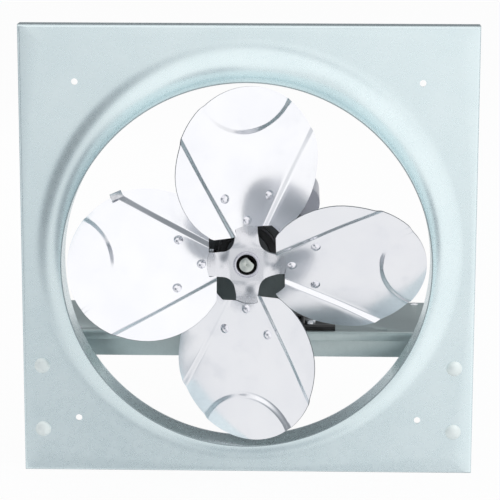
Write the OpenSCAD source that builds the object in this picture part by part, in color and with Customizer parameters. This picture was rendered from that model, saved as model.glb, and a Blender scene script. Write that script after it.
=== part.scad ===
// Square-panel exhaust fan: drawn venturi panel, motor shelf, foot-mounted motor and riveted propeller.
// Millimetres. The origin is on the fan axis in the panel's front face; air leaves towards -Y, +Z is up.

/* [Panel] */
// Side of the square panel
panel_side = 610; // [600:1:640]
// Sheet thickness of the panel and its ring
panel_t = 1.6; // [1:0.1:2.5]
// Depth of the edge flanges, folded away from the front
flange_depth = 32; // [20:1:45]
// Outer radius of the edge folds
bend_r = 4; // [3:0.5:7]
// Spacing of the four wall-bolt holes, both ways
wall_hole_pitch = 460; // [440:1:480]
// Diameter of the wall-bolt holes
wall_hole_d = 8.8; // [6:0.1:11]

/* [Venturi ring] */
// Inner radius of the throat
throat_r = 240.8; // [232:0.2:244]
// How far the lip stands in front of the panel
ring_depth = 90; // [70:1:110]
// Radius of the drawn bell between panel and throat
ring_fillet = 45; // [35:1:50]

/* [Blades] */
// Gap between the blade tips and the throat
tip_gap = 5.8; // [4:0.1:12]
// Radius of the round outline of a blade
blade_round = 104.8; // [98:0.1:108]
// How far the outline would pass the tip circle that trims it
tip_trim = 0; // [0:0.5:5]
// Pitch of the blades
pitch = 30; // [20:1:36]
// Sheet thickness of the blades
blade_t = 1.6; // [1:0.1:2.4]
// Radius of the hollow that the blades are rolled to
camber_r = 1300; // [900:50:3000]
// Distance past the spider's paddle over which that hollow starts
camber_run = 60; // [40:1:90]
// Distance from the axis to the root edge over the spider's arm
root_r = 52; // [50:0.5:56]
// The same beside the arm, on the blade's forward half
root_near = 39; // [36:0.5:46]
// The same on its rear half
root_far = 49.5; // [44:0.5:51]
// Distance from the shaft at which the rear half's root edge turns into an arc round the shaft
root_out = 60.5; // [56:0.5:66]
// Angle by which the blades' outline and steps are set round against their rivets
blade_skew = 0.9; // [0:0.1:2]
// Height of the pressed step round the sunk middle of a blade
step_h = 3.4; // [1.5:0.1:5]
// Width of the slope of that step
step_w = 6.5; // [4:0.1:9]
// Angle of the straight steps to the middle of the blade
step_angle = 29.4; // [28:0.1:33]
// Distance by which the line of a straight step passes inside the shaft's axis
step_in = 0.9; // [0:0.1:2]
// Radius of the curved step near the tip
arc_r = 73.5; // [68:0.5:78]
// Distance of its centre past the tip circle
arc_out = 14.3; // [8:0.1:16]

/* [Spider and hub] */
// Distance of the spider's front face from the panel
spider_out = 72; // [66:0.5:76]
// Thickness of the spider plate
spider_t = 3; // [2:0.1:5]
// Half width of the arms at their neck
arm_half = 16.5; // [14:0.5:19]
// Fillet radius between two arms
arm_fillet = 16; // [12:0.5:20]
// Half width of the paddle that carries a blade
paddle_half = 42; // [40:0.5:43]
// Distance from the axis to the end of the paddle
paddle_r = 106; // [102:1:115]
// Diameter of the hub behind the spider
hub_d = 38; // [35:0.5:44]
// Length of the hub behind the spider
hub_len = 31; // [24:1:34]
// Outer diameter of the swaged ring in front of the spider
swage_d = 35; // [32:0.5:37]
// Diameter of the recess in that ring
recess_d = 26.6; // [24:0.2:28]
// Height of the swaged ring
swage_h = 2.2; // [1:0.1:2.8]
// Distance from the axis to the inner rivet
rivet_in_r = 59; // [58:0.5:62]
// Distance from the axis to the outer rivets, along the blade
rivet_out_r = 90; // [84:0.5:93]
// Distance of the outer rivets from the middle of the blade
rivet_out_v = 33; // [28:0.5:34]
// Diameter of the rivet shanks
rivet_d = 6.35; // [4:0.05:7]
// Diameter of the rivet heads
rivet_head_d = 12.4; // [10:0.1:13]
// Diameter of the hub's set screws
set_screw_d = 6.35; // [5:0.05:7]

/* [Shaft] */
// Diameter of the shaft extension
shaft_d = 19.05; // [15:0.05:19.5]
// Distance of the shaft end from the panel
shaft_out = 75; // [73:0.5:84]
// Depth of the flat on the shaft
flat_depth = 2.4; // [1:0.1:3.5]
// Length of the flat
flat_len = 48; // [40:1:52]
// Radial clearance of the hub on the shaft
hub_fit = 0.02; // [0.01:0.01:0.05]

/* [Motor] */
// Clearance between the motor shell and the cradle plate under it
shell_clear = 3.4; // [3:0.1:10]
// Radius of the motor shell
shell_r = 82.5; // [78:0.5:84]
// Sheet thickness of the shell
shell_t = 1.5; // [1:0.1:3]
// Length of the shell
shell_len = 150; // [140:1:160]
// Distance of the shell's front end behind the panel
shell_y = 22; // [18:0.5:30]
// Radius of the bearing noses
nose_r = 28.5; // [26.5:0.5:32]
// Air gap between rotor and stator
air_gap = 0.4; // [0.2:0.05:0.8]
// Radius of the rotor
rotor_r = 45; // [40:0.5:47]
// Length of the rotor and stator stacks
stack_len = 70; // [50:1:76]
// Number of stator slots
slot_count = 24; // [12:4:36]
// Number of cage bars in the rotor
bar_count = 18; // [10:1:24]
// Number of cooling vanes on each end ring
vane_count = 9; // [5:1:12]

/* [Bearings] */
// Bore of the ball bearings
bearing_bore = 20; // [19.6:0.1:20.4]
// Outside diameter of the ball bearings
bearing_od = 47; // [46:0.5:48]
// Width of the ball bearings
bearing_w = 14; // [12:0.5:15]
// Diameter of the balls
ball_d = 7.9; // [7:0.1:8]
// Number of balls in each bearing
ball_count = 8; // [6:1:9]
// Working height of the wave washer behind the rear bearing
wave_h = 1.8; // [1.2:0.1:2.4]

/* [Motor cradle] */
// Outer radius of the rubber cushion rings
cushion_r = 38; // [36:0.5:42]
// Width of the cradle plate
cradle_w = 130; // [120:1:140]
// Sheet thickness of the cradle
cradle_t = 3; // [2:0.1:3.2]
// Spacing of the cradle bolts across the motor
foot_pitch_x = 124; // [110:0.5:126]
// Spacing of the cradle bolts along the motor
foot_pitch_y = 76.2; // [60:0.1:90]

/* [Riser] */
// Thickness of the rubber pad under the riser
pad_t = 5; // [3:0.5:8]
// Height of the riser over its pad
riser_h = 18.1; // [15:0.1:24]
// Width of the riser over its feet
riser_w = 236; // [220:1:250]
// Width of the riser's raised middle
riser_top_w = 150; // [146:1:152]
// Sheet thickness of the riser
riser_t = 3; // [2:0.1:4]
// Distance from the platform's front edge to the riser
riser_front = 7; // [5:0.5:12]
// Distance from the riser to the platform's rear edge
riser_back = 51; // [36:1:60]

/* [Platform and legs] */
// Distance of the platform's front edge behind the panel
platform_y = 18; // [14:0.5:22]
// Depth of the platform along the shaft
platform_depth = 183; // [165:1:195]
// Sheet thickness of the platform and rails
platform_t = 2.5; // [1.5:0.1:3]
// Height of the platform's front and rear hems
hem_h = 12; // [8:0.5:16]
// Height of the platform and rails together
rail_h = 35; // [28:0.5:42]
// Width of the rails' upper flanges
rail_flange = 26; // [22:1:30]
// Gap between each end of the platform and the leg's web
platform_gap = 9; // [4:0.5:12]
// Distance from the leg bolts to the panel's side
leg_inset = 26; // [24:0.5:31]
// Spacing of the two carriage bolts on a side
leg_bolt_pitch = 88.9; // [80:0.1:95]
// Height of the lower carriage bolt over the panel's lower edge
leg_bolt_rise = 58.6; // [54:0.1:62]
// Width of the legs' flanges
leg_w = 34; // [32:0.5:36]
// Sheet thickness of the legs
leg_t = 3; // [2:0.1:4]

/* [Fasteners] */
// Head diameter of the carriage bolts
carriage_head_d = 21.4; // [18:0.1:24]
// Height of that head
carriage_head_h = 4.4; // [3:0.1:6]
// Shank diameter of the carriage bolts
carriage_d = 9.5; // [8:0.1:10]
// Length of the carriage bolts under the head
carriage_len = 25.4; // [20:0.2:40]
// Diameter of the platform, riser and cradle bolts
bolt_d = 7.9; // [6:0.1:8]
// Diameter of the small screws and through bolts
screw_d = 4.8; // [4:0.1:5]

/* [Electrical] */
// Radius of the capacitor cover
cap_cover_r = 24.5; // [22:0.5:26]
// How deep the cover's round sits in the shell's outline
cap_sink = 14; // [10:0.5:16]
// Angle of the capacitor cover above the horizontal
cap_angle = 40; // [34:1:44]
// Length of the capacitor cover
cap_len = 110; // [95:1:120]
// Length of the terminal box along the shaft
box_len = 74; // [60:1:84]
// Height of the terminal box
box_h = 60; // [52:1:70]
// How far the terminal box stands out from the shell
box_out = 36; // [30:0.5:44]
// Diameter of the conduit hole in the terminal box
conduit_d = 22.2; // [18:0.1:24]
// Sheet thickness of the box and covers
box_t = 1.5; // [1:0.1:2]

/* [Hidden] */

galvanised = [0.72, 0.78, 0.80];
leg_grey = [0.62, 0.67, 0.69];
bright_sheet = [0.90, 0.91, 0.94];
zinc = [0.80, 0.82, 0.84];
black_paint = [0.10, 0.10, 0.11];
cover_grey = [0.62, 0.62, 0.66];
motor_grey = [0.22, 0.24, 0.25];
black_rubber = [0.06, 0.06, 0.06];
steel = [0.70, 0.71, 0.73];
copper = [0.72, 0.40, 0.22];
core_steel = [0.42, 0.43, 0.46];
cast_alloy = [0.76, 0.77, 0.78];
board_brown = [0.36, 0.22, 0.12];

$fn = 96;
eps = 0.01;
over = 1;
slip = 0.1;        // clearance of a fastener or a neck in its hole
hole_play = 0.4;   // extra radius of a bolt's clearance hole
seat_gap = 0.3;    // clearance between pieces that only come close

// Places along the shaft and across it, all measured from the fan axis and the panel's front face.
tip_r = throat_r - tip_gap;
blade_c = tip_r + tip_trim - blade_round;
arc_c = tip_r + arc_out;
bell_r = throat_r + panel_t + ring_fillet;
ring_collar = 2;
motor_height = shell_r + shell_clear + cradle_t;
platform_z = -(motor_height + riser_h + pad_t);
platform_end = platform_y + platform_depth;
leg_x = panel_side / 2 - leg_inset;
leg_in = leg_x - leg_w / 2;
leg_out = leg_x + leg_w / 2;
leg_bolt_drop = panel_side / 2 - leg_bolt_rise - leg_bolt_pitch;
platform_w = 2 * (leg_out - leg_t - platform_gap);
leg_top = platform_z - platform_t;
leg_low = -(leg_bolt_drop + leg_bolt_pitch + leg_w / 2 + 5);
leg_end = platform_end + 5;
leg_tail = 36;
rail_w = 2 * (leg_in - over);
shell_end = shell_y + shell_len;
stack_y = shell_y + (shell_len - stack_len) / 2;
stack_end = stack_y + stack_len;
core_r = shell_r - shell_t;
front_bearing_y = shell_y - 30;
rear_bearing_y = shell_y + shell_end - front_bearing_y - bearing_w - wave_h;
bearing_gap = rear_bearing_y - front_bearing_y - bearing_w;
nose_front = front_bearing_y - 4;
shield_depth = 8;
boss_out = 10;
shaft_r = shaft_d / 2;
journal_r = bearing_bore / 2;
waist_r = journal_r + 2.5;
slot_in = rotor_r + air_gap + 2;
slot_out = slot_in + 17;
slot_w = 5;
bar_r = 3;
pitch_r = (bearing_bore + bearing_od) / 4;
groove_r = ball_d / 2 + 0.05;
race_gap = 0.8 * ball_d / 2;
spider_y = -spider_out;
hub_y = spider_y + spider_t;
screw_y = hub_y + 0.55 * hub_len;
collar_r = (recess_d + swage_d) / 4;
bolt_r = bolt_d / 2;
screw_r = screw_d / 2;
bolt_head_r = bolt_d * 0.92;
bolt_head_h = bolt_d * 0.65;
small_head_r = 0.9 * screw_d;
small_head_h = 0.7 * screw_d;
nut_h = bolt_d * 0.8;
through_r = core_r - 6;
collar_out = cushion_r + cradle_t;
ear_out = collar_out + 13;
ear_x = collar_out + 7;
upright_y = (bearing_w - cradle_t) / 2;
riser_top = -motor_height;
riser_y = platform_y + riser_front;
riser_len = platform_depth - riser_front - riser_back;
riser_hole_x = riser_top_w / 2 + 9;
foot_y = riser_y + (riser_len - foot_pitch_y) / 2;
platform_bolt_y = [platform_y + 32, platform_end - 30];
riser_bolt_y = [riser_y + 9, riser_y + riser_len - 10];
cap_centre = shell_r + cap_cover_r - cap_sink;
cap_y = shell_y + 28;
cap_at = [cap_centre * cos(cap_angle), cap_centre * sin(cap_angle)];
box_y = shell_y + 44;
box_x = -shell_r - box_out;
boss = 10;

// Turns a solid made along Z so that it lies along the shaft, from y on away from the front.
module along_y(y = 0) {
    translate([0, y, 0]) rotate([-90, 0, 0]) children();
}

// The same, moved to a place across the shaft.
module at_xz(x, z, y = 0) {
    translate([x, y, z]) rotate([-90, 0, 0]) children();
}

module ring(outer, inner, h) {
    difference() {
        cylinder(r = outer, h = h);
        translate([0, 0, -over]) cylinder(r = inner, h = h + 2 * over);
    }
}

module hex_prism(r, h) {
    cylinder(r = r, h = h, $fn = 6);
}

module nut(hole_r, across, h) {
    difference() {
        hex_prism(across, h);
        translate([0, 0, -over]) cylinder(r = hole_r, h = h + 2 * over);
    }
}

// Low dome on a flat seat, standing up from z = 0.
module dome(r, h) {
    ball = (r * r + h * h) / (2 * h);
    intersection() {
        translate([0, 0, h - ball]) sphere(r = ball);
        cylinder(r = r + over, h = h + over);
    }
}

module sides() {
    for (s = [-1, 1]) scale([s, 1, 1]) children();
}

// ---- Panel -------------------------------------------------------------------------------------

// Square pan outline seen from one side: flat front, two rolled corners.
module pan_profile(side, front, back, r) {
    translate([-side / 2 + r, front]) square([side - 2 * r, back - front]);
    translate([-side / 2, front + r]) square([side, back - front - r]);
    for (s = [-1, 1]) translate([s * (side / 2 - r), front + r]) circle(r = r);
}

module pan_block(side, front, back, r) {
    intersection() {
        translate([0, 0, -side / 2]) linear_extrude(side) pan_profile(side, front, back, r);
        rotate([0, 90, 0]) translate([0, 0, -side / 2])
            linear_extrude(side) pan_profile(side, front, back, r);
    }
}

// Half section of the drawn ring: radius across, place along the shaft up. It ends in a flat collar.
module ring_profile() {
    intersection() {
        translate([bell_r, -ring_fillet]) difference() {
            circle(r = ring_fillet + panel_t);
            circle(r = ring_fillet);
        }
        translate([0, -ring_fillet]) square([bell_r, ring_fillet + panel_t]);
    }
    translate([throat_r, -ring_depth]) square([panel_t, ring_depth - ring_fillet]);
    translate([bell_r, 0]) square([ring_collar, panel_t]);
}

module leg_bolt_places() {
    for (s = [-1, 1], drop = [leg_bolt_drop, leg_bolt_drop + leg_bolt_pitch])
        translate([s * leg_x, 0, -drop]) children();
}

module venturi_panel() {
    neck_hole = carriage_d + 2 * slip;
    color(galvanised) difference() {
        union() {
            difference() {
                pan_block(panel_side, 0, flange_depth, bend_r);
                pan_block(panel_side - 2 * panel_t, panel_t, flange_depth + 2 * over, bend_r - panel_t);
                along_y(-over) cylinder(r = bell_r + ring_collar / 2, h = panel_t + 2 * over, $fn = 180);
            }
            along_y() rotate_extrude($fn = 180) ring_profile();
        }
        for (x = [-1, 1], z = [-1, 1])
            at_xz(x * wall_hole_pitch / 2, z * wall_hole_pitch / 2, -over)
                cylinder(d = wall_hole_d, h = panel_t + 2 * over);
        leg_bolt_places() translate([-neck_hole / 2, -over, -neck_hole / 2])
            cube([neck_hole, panel_t + 2 * over, neck_hole]);
    }
}

// ---- Legs and their bolts -----------------------------------------------------------------------

module support_leg() {
    web = [[panel_t, leg_top], [leg_end, leg_top], [leg_end, leg_top - leg_tail], [panel_t + leg_w, leg_low],
        [panel_t, leg_low]];
    color(leg_grey) difference() {
        union() {
            translate([leg_in, panel_t, leg_low]) cube([leg_w, leg_t, leg_top - leg_low]);
            translate([leg_out - leg_t, 0, 0]) rotate([90, 0, 90]) linear_extrude(leg_t) polygon(web);
            translate([leg_in, panel_t, leg_top - leg_t]) cube([leg_w, leg_end - panel_t, leg_t]);
        }
        leg_bolt_places() along_y() cylinder(r = carriage_d / 2 + hole_play, h = panel_t + 2 * leg_t);
        for (y = platform_bolt_y) translate([leg_x - 2, y, leg_top - 2 * leg_t])
            cylinder(r = bolt_r + hole_play, h = 3 * leg_t);
    }
}

module support_leg_left() {
    mirror([1, 0, 0]) support_leg();
}

module support_leg_right() {
    support_leg();
}

module carriage_bolts() {
    color(zinc) leg_bolt_places() {
        rotate([90, 0, 0]) dome(carriage_head_d / 2, carriage_head_h);
        translate([-carriage_d / 2, 0, -carriage_d / 2]) cube([carriage_d, panel_t, carriage_d]);
        along_y() cylinder(d = carriage_d, h = carriage_len);
    }
}

module carriage_nuts() {
    seat = panel_t + leg_t;
    height = 0.88 * carriage_d;
    color(zinc) leg_bolt_places() along_y(seat) difference() {
        union() {
            cylinder(d = 2.1 * carriage_d, h = 2);
            hex_prism(0.88 * carriage_d, height);
        }
        translate([0, 0, -over]) cylinder(d = carriage_d, h = height + 2 * over);
    }
}

// ---- Platform and rails -------------------------------------------------------------------------

// Section of the platform across its depth: flat top with two rolled hems.
module platform_profile(r) {
    difference() {
        union() {
            translate([platform_y, -hem_h]) square([platform_depth, hem_h - r]);
            translate([platform_y + r, -hem_h]) square([platform_depth - 2 * r, hem_h]);
            for (y = [platform_y + r, platform_end - r]) translate([y, -r]) circle(r = r);
        }
        translate([platform_y + platform_t, -hem_h - over])
            square([platform_depth - 2 * platform_t, hem_h + over - platform_t]);
    }
}

module rivet_places() {
    for (s = [-1, 1]) {
        translate([s * (rail_w / 2 - 28), platform_y + 15, 0]) children();
        for (x = [60, rail_w / 2 - 28]) translate([s * x, platform_end - 15, 0]) children();
    }
}

module motor_platform() {
    slot_at = [rail_w * 0.35, platform_y + 15];
    color(galvanised) difference() {
        union() {
            translate([-rail_w / 2, 0, platform_z]) rotate([90, 0, 90])
                linear_extrude(rail_w) platform_profile(4);
            translate([-platform_w / 2, platform_y + 6, leg_top])
                cube([platform_w, platform_depth - 12, platform_t]);
        }
        sides() {
            for (y = platform_bolt_y) translate([leg_x - 2, y, leg_top - over])
                cylinder(r = bolt_r + hole_play, h = platform_t + 2 * over);
            for (y = riser_bolt_y) translate([riser_hole_x, y, leg_top - over])
                cylinder(r = bolt_r + hole_play, h = platform_t + 2 * over);
            translate([slot_at[0], slot_at[1], leg_top - over]) for (x = [-4, 4])
                translate([x, 0, 0]) cylinder(d = 6, h = platform_t + 2 * over);
            translate([slot_at[0] - 4, slot_at[1] - 3, leg_top - over]) cube([8, 6, platform_t + 2 * over]);
        }
        rivet_places() translate([0, 0, leg_top - over]) cylinder(d = rivet_d, h = platform_t + 2 * over);
    }
}

// Angle under the platform, its web behind the hem; the corner is at y = 0 and runs away from the front.
module cross_rail() {
    translate([-rail_w / 2, 0, platform_z - rail_h]) cube([rail_w, platform_t, rail_h - platform_t]);
    translate([-rail_w / 2, 0, leg_top - platform_t]) cube([rail_w, rail_flange, platform_t]);
}

module rail_holes() {
    rivet_places() translate([0, 0, leg_top - 2 * platform_t]) cylinder(d = rivet_d, h = 3 * platform_t);
    sides() for (y = riser_bolt_y) translate([riser_hole_x, y, leg_top - 2 * platform_t])
        cylinder(r = bolt_r + hole_play, h = 3 * platform_t);
}

module cross_rail_front() {
    color(galvanised) difference() {
        translate([0, platform_y + platform_t, 0]) cross_rail();
        rail_holes();
    }
}

module cross_rail_rear() {
    color(galvanised) difference() {
        translate([0, platform_end - platform_t, 0]) mirror([0, 1, 0]) cross_rail();
        rail_holes();
    }
}

module rail_rivets() {
    color(zinc) rivet_places() {
        translate([0, 0, platform_z]) dome(rivet_head_d / 2, 2.6);
        translate([0, 0, leg_top - platform_t]) cylinder(d = rivet_d, h = 2 * platform_t);
        translate([0, 0, leg_top - platform_t]) mirror([0, 0, 1]) dome(rivet_head_d / 2, 2.2);
    }
}

// Hexagon bolt with its head's seat at z = 0 and its shank pointing down.
module hex_bolt(length) {
    hex_prism(bolt_head_r, bolt_head_h);
    translate([0, 0, -length]) cylinder(r = bolt_r, h = length);
}

module platform_bolts() {
    color(zinc) sides() for (y = platform_bolt_y) translate([leg_x - 2, y, platform_z])
        hex_bolt(platform_t + leg_t + nut_h + 3);
}

module platform_nuts() {
    color(zinc) sides() for (y = platform_bolt_y) translate([leg_x - 2, y, leg_top - leg_t - nut_h])
        nut(bolt_r, bolt_head_r, nut_h);
}

// ---- Riser and cradle ---------------------------------------------------------------------------

module riser_pad() {
    color(black_rubber) difference() {
        translate([-riser_w / 2, riser_y, platform_z]) cube([riser_w, riser_len, pad_t]);
        sides() for (y = riser_bolt_y) translate([riser_hole_x, y, platform_z - over])
            cylinder(r = bolt_r + hole_play, h = pad_t + 2 * over);
    }
}

module foot_places() {
    for (s = [-1, 1], y = [foot_y, foot_y + foot_pitch_y]) translate([s * foot_pitch_x / 2, y, 0]) children();
}

module motor_riser() {
    foot_z = platform_z + pad_t;
    color(black_paint) difference() {
        translate([0, riser_y, 0]) {
            translate([-riser_w / 2, 0, foot_z]) cube([riser_w, riser_len, riser_t]);
            translate([-riser_top_w / 2, 0, foot_z]) cube([riser_top_w, riser_len, riser_h]);
        }
        translate([-riser_top_w / 2 + riser_t, riser_y - over, foot_z - over])
            cube([riser_top_w - 2 * riser_t, riser_len + 2 * over, riser_h - riser_t + over]);
        sides() for (y = riser_bolt_y) translate([riser_hole_x, y, foot_z - over])
            cylinder(r = bolt_r + hole_play, h = riser_t + 2 * over);
        foot_places() translate([0, 0, riser_top - 2 * riser_t])
            cylinder(r = bolt_r + hole_play, h = 3 * riser_t);
    }
}

module riser_bolts() {
    color(zinc) sides() for (y = riser_bolt_y) translate([riser_hole_x, y, platform_z + pad_t + riser_t])
        hex_bolt(riser_t + pad_t + 2 * platform_t + nut_h + 3);
}

module riser_nuts() {
    color(zinc) sides() for (i = [0, 1])
        translate([riser_hole_x, riser_bolt_y[i], leg_top - (i == 0 ? platform_t : 0) - nut_h])
            nut(bolt_r, bolt_head_r, nut_h);
}

// Both ends of the motor, at the face of the bearing nose that looks along the shaft to the front.
module both_ends() {
    for (y = [front_bearing_y, rear_bearing_y]) translate([0, y, 0]) children();
}

// One half of the split collar round a bearing nose, with an ear on each side: up is 1 or -1.
module half_collar(up) {
    scale([1, 1, up]) difference() {
        union() {
            along_y() cylinder(r = collar_out, h = bearing_w);
            translate([-ear_out, 0, 0]) cube([2 * ear_out, bearing_w, cradle_t]);
        }
        translate([-2 * ear_out, -over, -2 * ear_out]) cube([4 * ear_out, bearing_w + 2 * over, 2 * ear_out]);
        along_y(-over) cylinder(r = cushion_r, h = bearing_w + 2 * over);
        sides() translate([ear_x, bearing_w / 2, -over]) cylinder(r = screw_r, h = cradle_t + 2 * over);
    }
}

// Tapered upright under a collar.
module cradle_upright() {
    foot = cradle_w / 2;
    difference() {
        translate([0, upright_y + cradle_t, 0]) rotate([90, 0, 0]) linear_extrude(cradle_t) polygon([
            [-foot, riser_top], [foot, riser_top], [foot, riser_top + 12], [collar_out, -12],
            [collar_out, -cradle_t], [-collar_out, -cradle_t], [-collar_out, -12], [-foot, riser_top + 12]
        ]);
        along_y(-over) cylinder(r = cushion_r, h = bearing_w + 2 * over);
    }
}

module motor_cradle() {
    from = front_bearing_y + upright_y;
    to = rear_bearing_y + upright_y + cradle_t;
    color(black_paint) difference() {
        union() {
            both_ends() half_collar(-1);
            both_ends() cradle_upright();
            translate([-cradle_w / 2, from, riser_top]) cube([cradle_w, to - from, cradle_t]);
        }
        foot_places() translate([0, 0, riser_top - over])
            cylinder(r = bolt_r + hole_play, h = cradle_t + 2 * over);
    }
}

module cradle_bolts() {
    color(zinc) foot_places() translate([0, 0, riser_top + cradle_t])
        hex_bolt(cradle_t + riser_t + nut_h + 1);
}

module cradle_nuts() {
    color(zinc) foot_places() translate([0, 0, riser_top - riser_t - nut_h]) nut(bolt_r, bolt_head_r, nut_h);
}

module cushion_rings() {
    color(black_rubber) both_ends() along_y() ring(cushion_r, nose_r, bearing_w);
}

module cradle_clamps() {
    color(black_paint) both_ends() half_collar(1);
}

module clamp_screws() {
    color(zinc) both_ends() sides() translate([ear_x, bearing_w / 2, cradle_t]) {
        hex_prism(small_head_r, small_head_h);
        translate([0, 0, -2 * cradle_t - 3]) cylinder(r = screw_r, h = 2 * cradle_t + 3);
    }
}

// ---- Motor casing -------------------------------------------------------------------------------

module box_lead_hole() {
    translate([-shell_r - over, box_y + box_len / 2, 0]) rotate([0, 90, 0])
        cylinder(d = 16, h = 3 * shell_t + 2 * over);
}

module cap_lead_hole() {
    translate([0, cap_y + cap_len / 2, 0]) rotate([0, 90 - cap_angle, 0])
        translate([0, 0, core_r - over]) cylinder(d = 12, h = shell_t + 2 * over);
}

module motor_shell() {
    color(motor_grey) difference() {
        along_y(shell_y) ring(shell_r, core_r, shell_len, $fn = 128);
        box_lead_hole();
        cap_lead_hole();
    }
}

module through_places() {
    for (a = [45:90:315]) rotate([0, a + 4, 0]) translate([0, 0, through_r]) children();
}

// End shield with its bearing seat, made for the front end and facing it; the shell starts at shell_y.
module end_shield() {
    seat_r = bearing_od / 2;
    dish = shell_y - shield_depth;
    rim = shell_y - 6;
    color(motor_grey) difference() {
        union() {
            along_y() rotate_extrude() polygon([
                [shaft_r + 1, nose_front], [nose_r, nose_front], [nose_r, dish - 5], [60, dish - 3],
                [shell_r, rim], [shell_r, shell_y], [core_r, shell_y], [core_r, shell_y + 6],
                [core_r - 3, shell_y + 6], [core_r - 3, shell_y - 1], [58, dish], [seat_r, dish],
                [seat_r, front_bearing_y], [shaft_r + 1, front_bearing_y]
            ]);
            through_places() along_y(shell_y - boss_out) cylinder(r = 5.5, h = boss_out / 2);
        }
        through_places() along_y(nose_front) cylinder(r = screw_r + slip, h = shell_y - nose_front + 10);
    }
}

module front_end_shield() {
    end_shield();
}

// Moves what is made for the front end to the rear end, facing away from the front.
module at_rear() {
    translate([0, shell_y + shell_end, 0]) mirror([0, 1, 0]) children();
}

module rear_end_shield() {
    at_rear() end_shield();
}

module through_bolts() {
    length = shell_len + 2 * boss_out + small_head_h + 2;
    color(zinc) through_places() along_y(shell_y - boss_out) {
        translate([0, 0, -small_head_h]) hex_prism(small_head_r, small_head_h);
        cylinder(r = screw_r, h = length);
    }
}

module through_bolt_nuts() {
    color(zinc) through_places() along_y(shell_end + boss_out) nut(screw_r, small_head_r, small_head_h);
}

// ---- Stator, bearings and switch ----------------------------------------------------------------

module stator_core() {
    color(core_steel) along_y(stack_y) difference() {
        ring(core_r, rotor_r + air_gap, stack_len, $fn = 128);
        for (i = [0:slot_count - 1]) rotate([0, 0, i * 360 / slot_count]) {
            translate([slot_in, -slot_w / 2, -over]) cube([slot_out - slot_in, slot_w, stack_len + 2 * over]);
            translate([slot_in - 3, -slot_w / 4, -over]) cube([4, slot_w / 2, stack_len + 2 * over]);
        }
        rotate([90, 0, 0]) through_places() along_y(-over)
            cylinder(r = screw_r + slip, h = stack_len + 2 * over);
    }
}

module coil_head() {
    rotate_extrude() {
        translate([slot_in + 2, 0]) square([slot_out - slot_in, 16]);
        translate([slot_in + 6, 0]) square([slot_out - slot_in - 8, 20]);
        for (r = [slot_in + 6, slot_out - 2]) translate([r, 16]) circle(r = 4);
    }
}

module stator_windings() {
    color(copper) along_y() {
        translate([0, 0, stack_end]) coil_head();
        translate([0, 0, stack_y]) mirror([0, 0, 1]) coil_head();
        for (i = [0:slot_count - 1]) rotate([0, 0, i * 360 / slot_count])
            translate([slot_in + 2, -slot_w / 2 + slip, stack_y - over])
                cube([slot_out - slot_in - 3, slot_w - 2 * slip, stack_len + 2 * over]);
    }
}

module ball_groove() {
    translate([0, 0, bearing_w / 2]) rotate_extrude() translate([pitch_r, 0]) circle(r = groove_r, $fn = 48);
}

module bearings_along_y() {
    for (y = [front_bearing_y, rear_bearing_y]) along_y(y) children();
}

module bearing_outer_races() {
    color(steel) bearings_along_y() difference() {
        ring(bearing_od / 2, pitch_r + race_gap, bearing_w);
        ball_groove();
    }
}

module bearing_inner_races() {
    color(steel) bearings_along_y() difference() {
        ring(pitch_r - race_gap, journal_r, bearing_w);
        ball_groove();
    }
}

module ball_places() {
    for (i = [0:ball_count - 1]) rotate([0, 0, i * 360 / ball_count]) translate([pitch_r, 0, bearing_w / 2])
        children();
}

module bearing_balls() {
    color(steel) bearings_along_y() ball_places() sphere(d = ball_d, $fn = 48);
}

module bearing_cages() {
    height = ball_d + 2.6;
    color(steel) bearings_along_y() difference() {
        translate([0, 0, (bearing_w - height) / 2]) ring(pitch_r + 1.2, pitch_r - 1.2, height);
        ball_places() translate([-3, 0, 0]) rotate([0, 90, 0]) cylinder(d = ball_d + 2 * slip, h = 6);
    }
}

// Thin ring whose height swings up and down between the bearing and the end shield.
module wave_washer() {
    sheet = 0.6;
    steps = 48;
    inner = pitch_r + race_gap;
    outer = bearing_od / 2 - seat_gap;
    points = [for (i = [0:steps - 1]) let (a = i * 360 / steps, z = (wave_h - sheet) * (1 - cos(4 * a)) / 2)
        for (q = [[inner, z], [outer, z], [outer, z + sheet], [inner, z + sheet]])
            [q[0] * cos(a), q[0] * sin(a), q[1]]];
    faces = [for (i = [0:steps - 1], k = [0:3]) let (
        a = 4 * i + k, b = 4 * i + (k + 1) % 4, c = (a + 4) % (4 * steps), d = (b + 4) % (4 * steps))
        each [[a, b, d], [a, d, c]]];
    color(steel) along_y(rear_bearing_y + bearing_w) polyhedron(points, faces, convexity = 4);
}

// Fixed plate of the centrifugal start switch on three posts from the rear end shield.
module start_switch() {
    plate_t = 3;
    plate_r = 40;
    plate_low = 10;
    plate_y = shell_end - 8;
    post_len = shell_end + shield_depth - plate_y - plate_t;
    color(board_brown) difference() {
        along_y(plate_y) ring(plate_r, 27, plate_t);
        translate([-plate_r - over, plate_y - over, -plate_low - plate_r])
            cube([2 * (plate_r + over), plate_t + 2 * over, plate_r]);
    }
    color(steel) for (a = [-50, 0, 50]) rotate([0, a, 0]) at_xz(0, 34, plate_y + plate_t)
        cylinder(r = 2.4, h = post_len);
}

module switch_actuator() {
    color(board_brown) along_y(shell_end - 17) {
        ring(waist_r + 9, waist_r, 3);
        ring(waist_r + 4, waist_r, 8);
    }
}

// ---- Capacitor and terminal box -----------------------------------------------------------------

module capacitor() {
    can_r = (cap_centre + cap_cover_r - box_t - shell_r) / 2 - 0.2;
    at = shell_r + can_r + 0.1;
    color([0.15, 0.15, 0.16]) at_xz(at * cos(cap_angle), at * sin(cap_angle), cap_y + 12) {
        cylinder(r = can_r, h = cap_len - 30);
        for (s = [-1, 1]) translate([s * 5, 0, cap_len - 30]) cylinder(r = 1.5, h = 7);
    }
}

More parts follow.
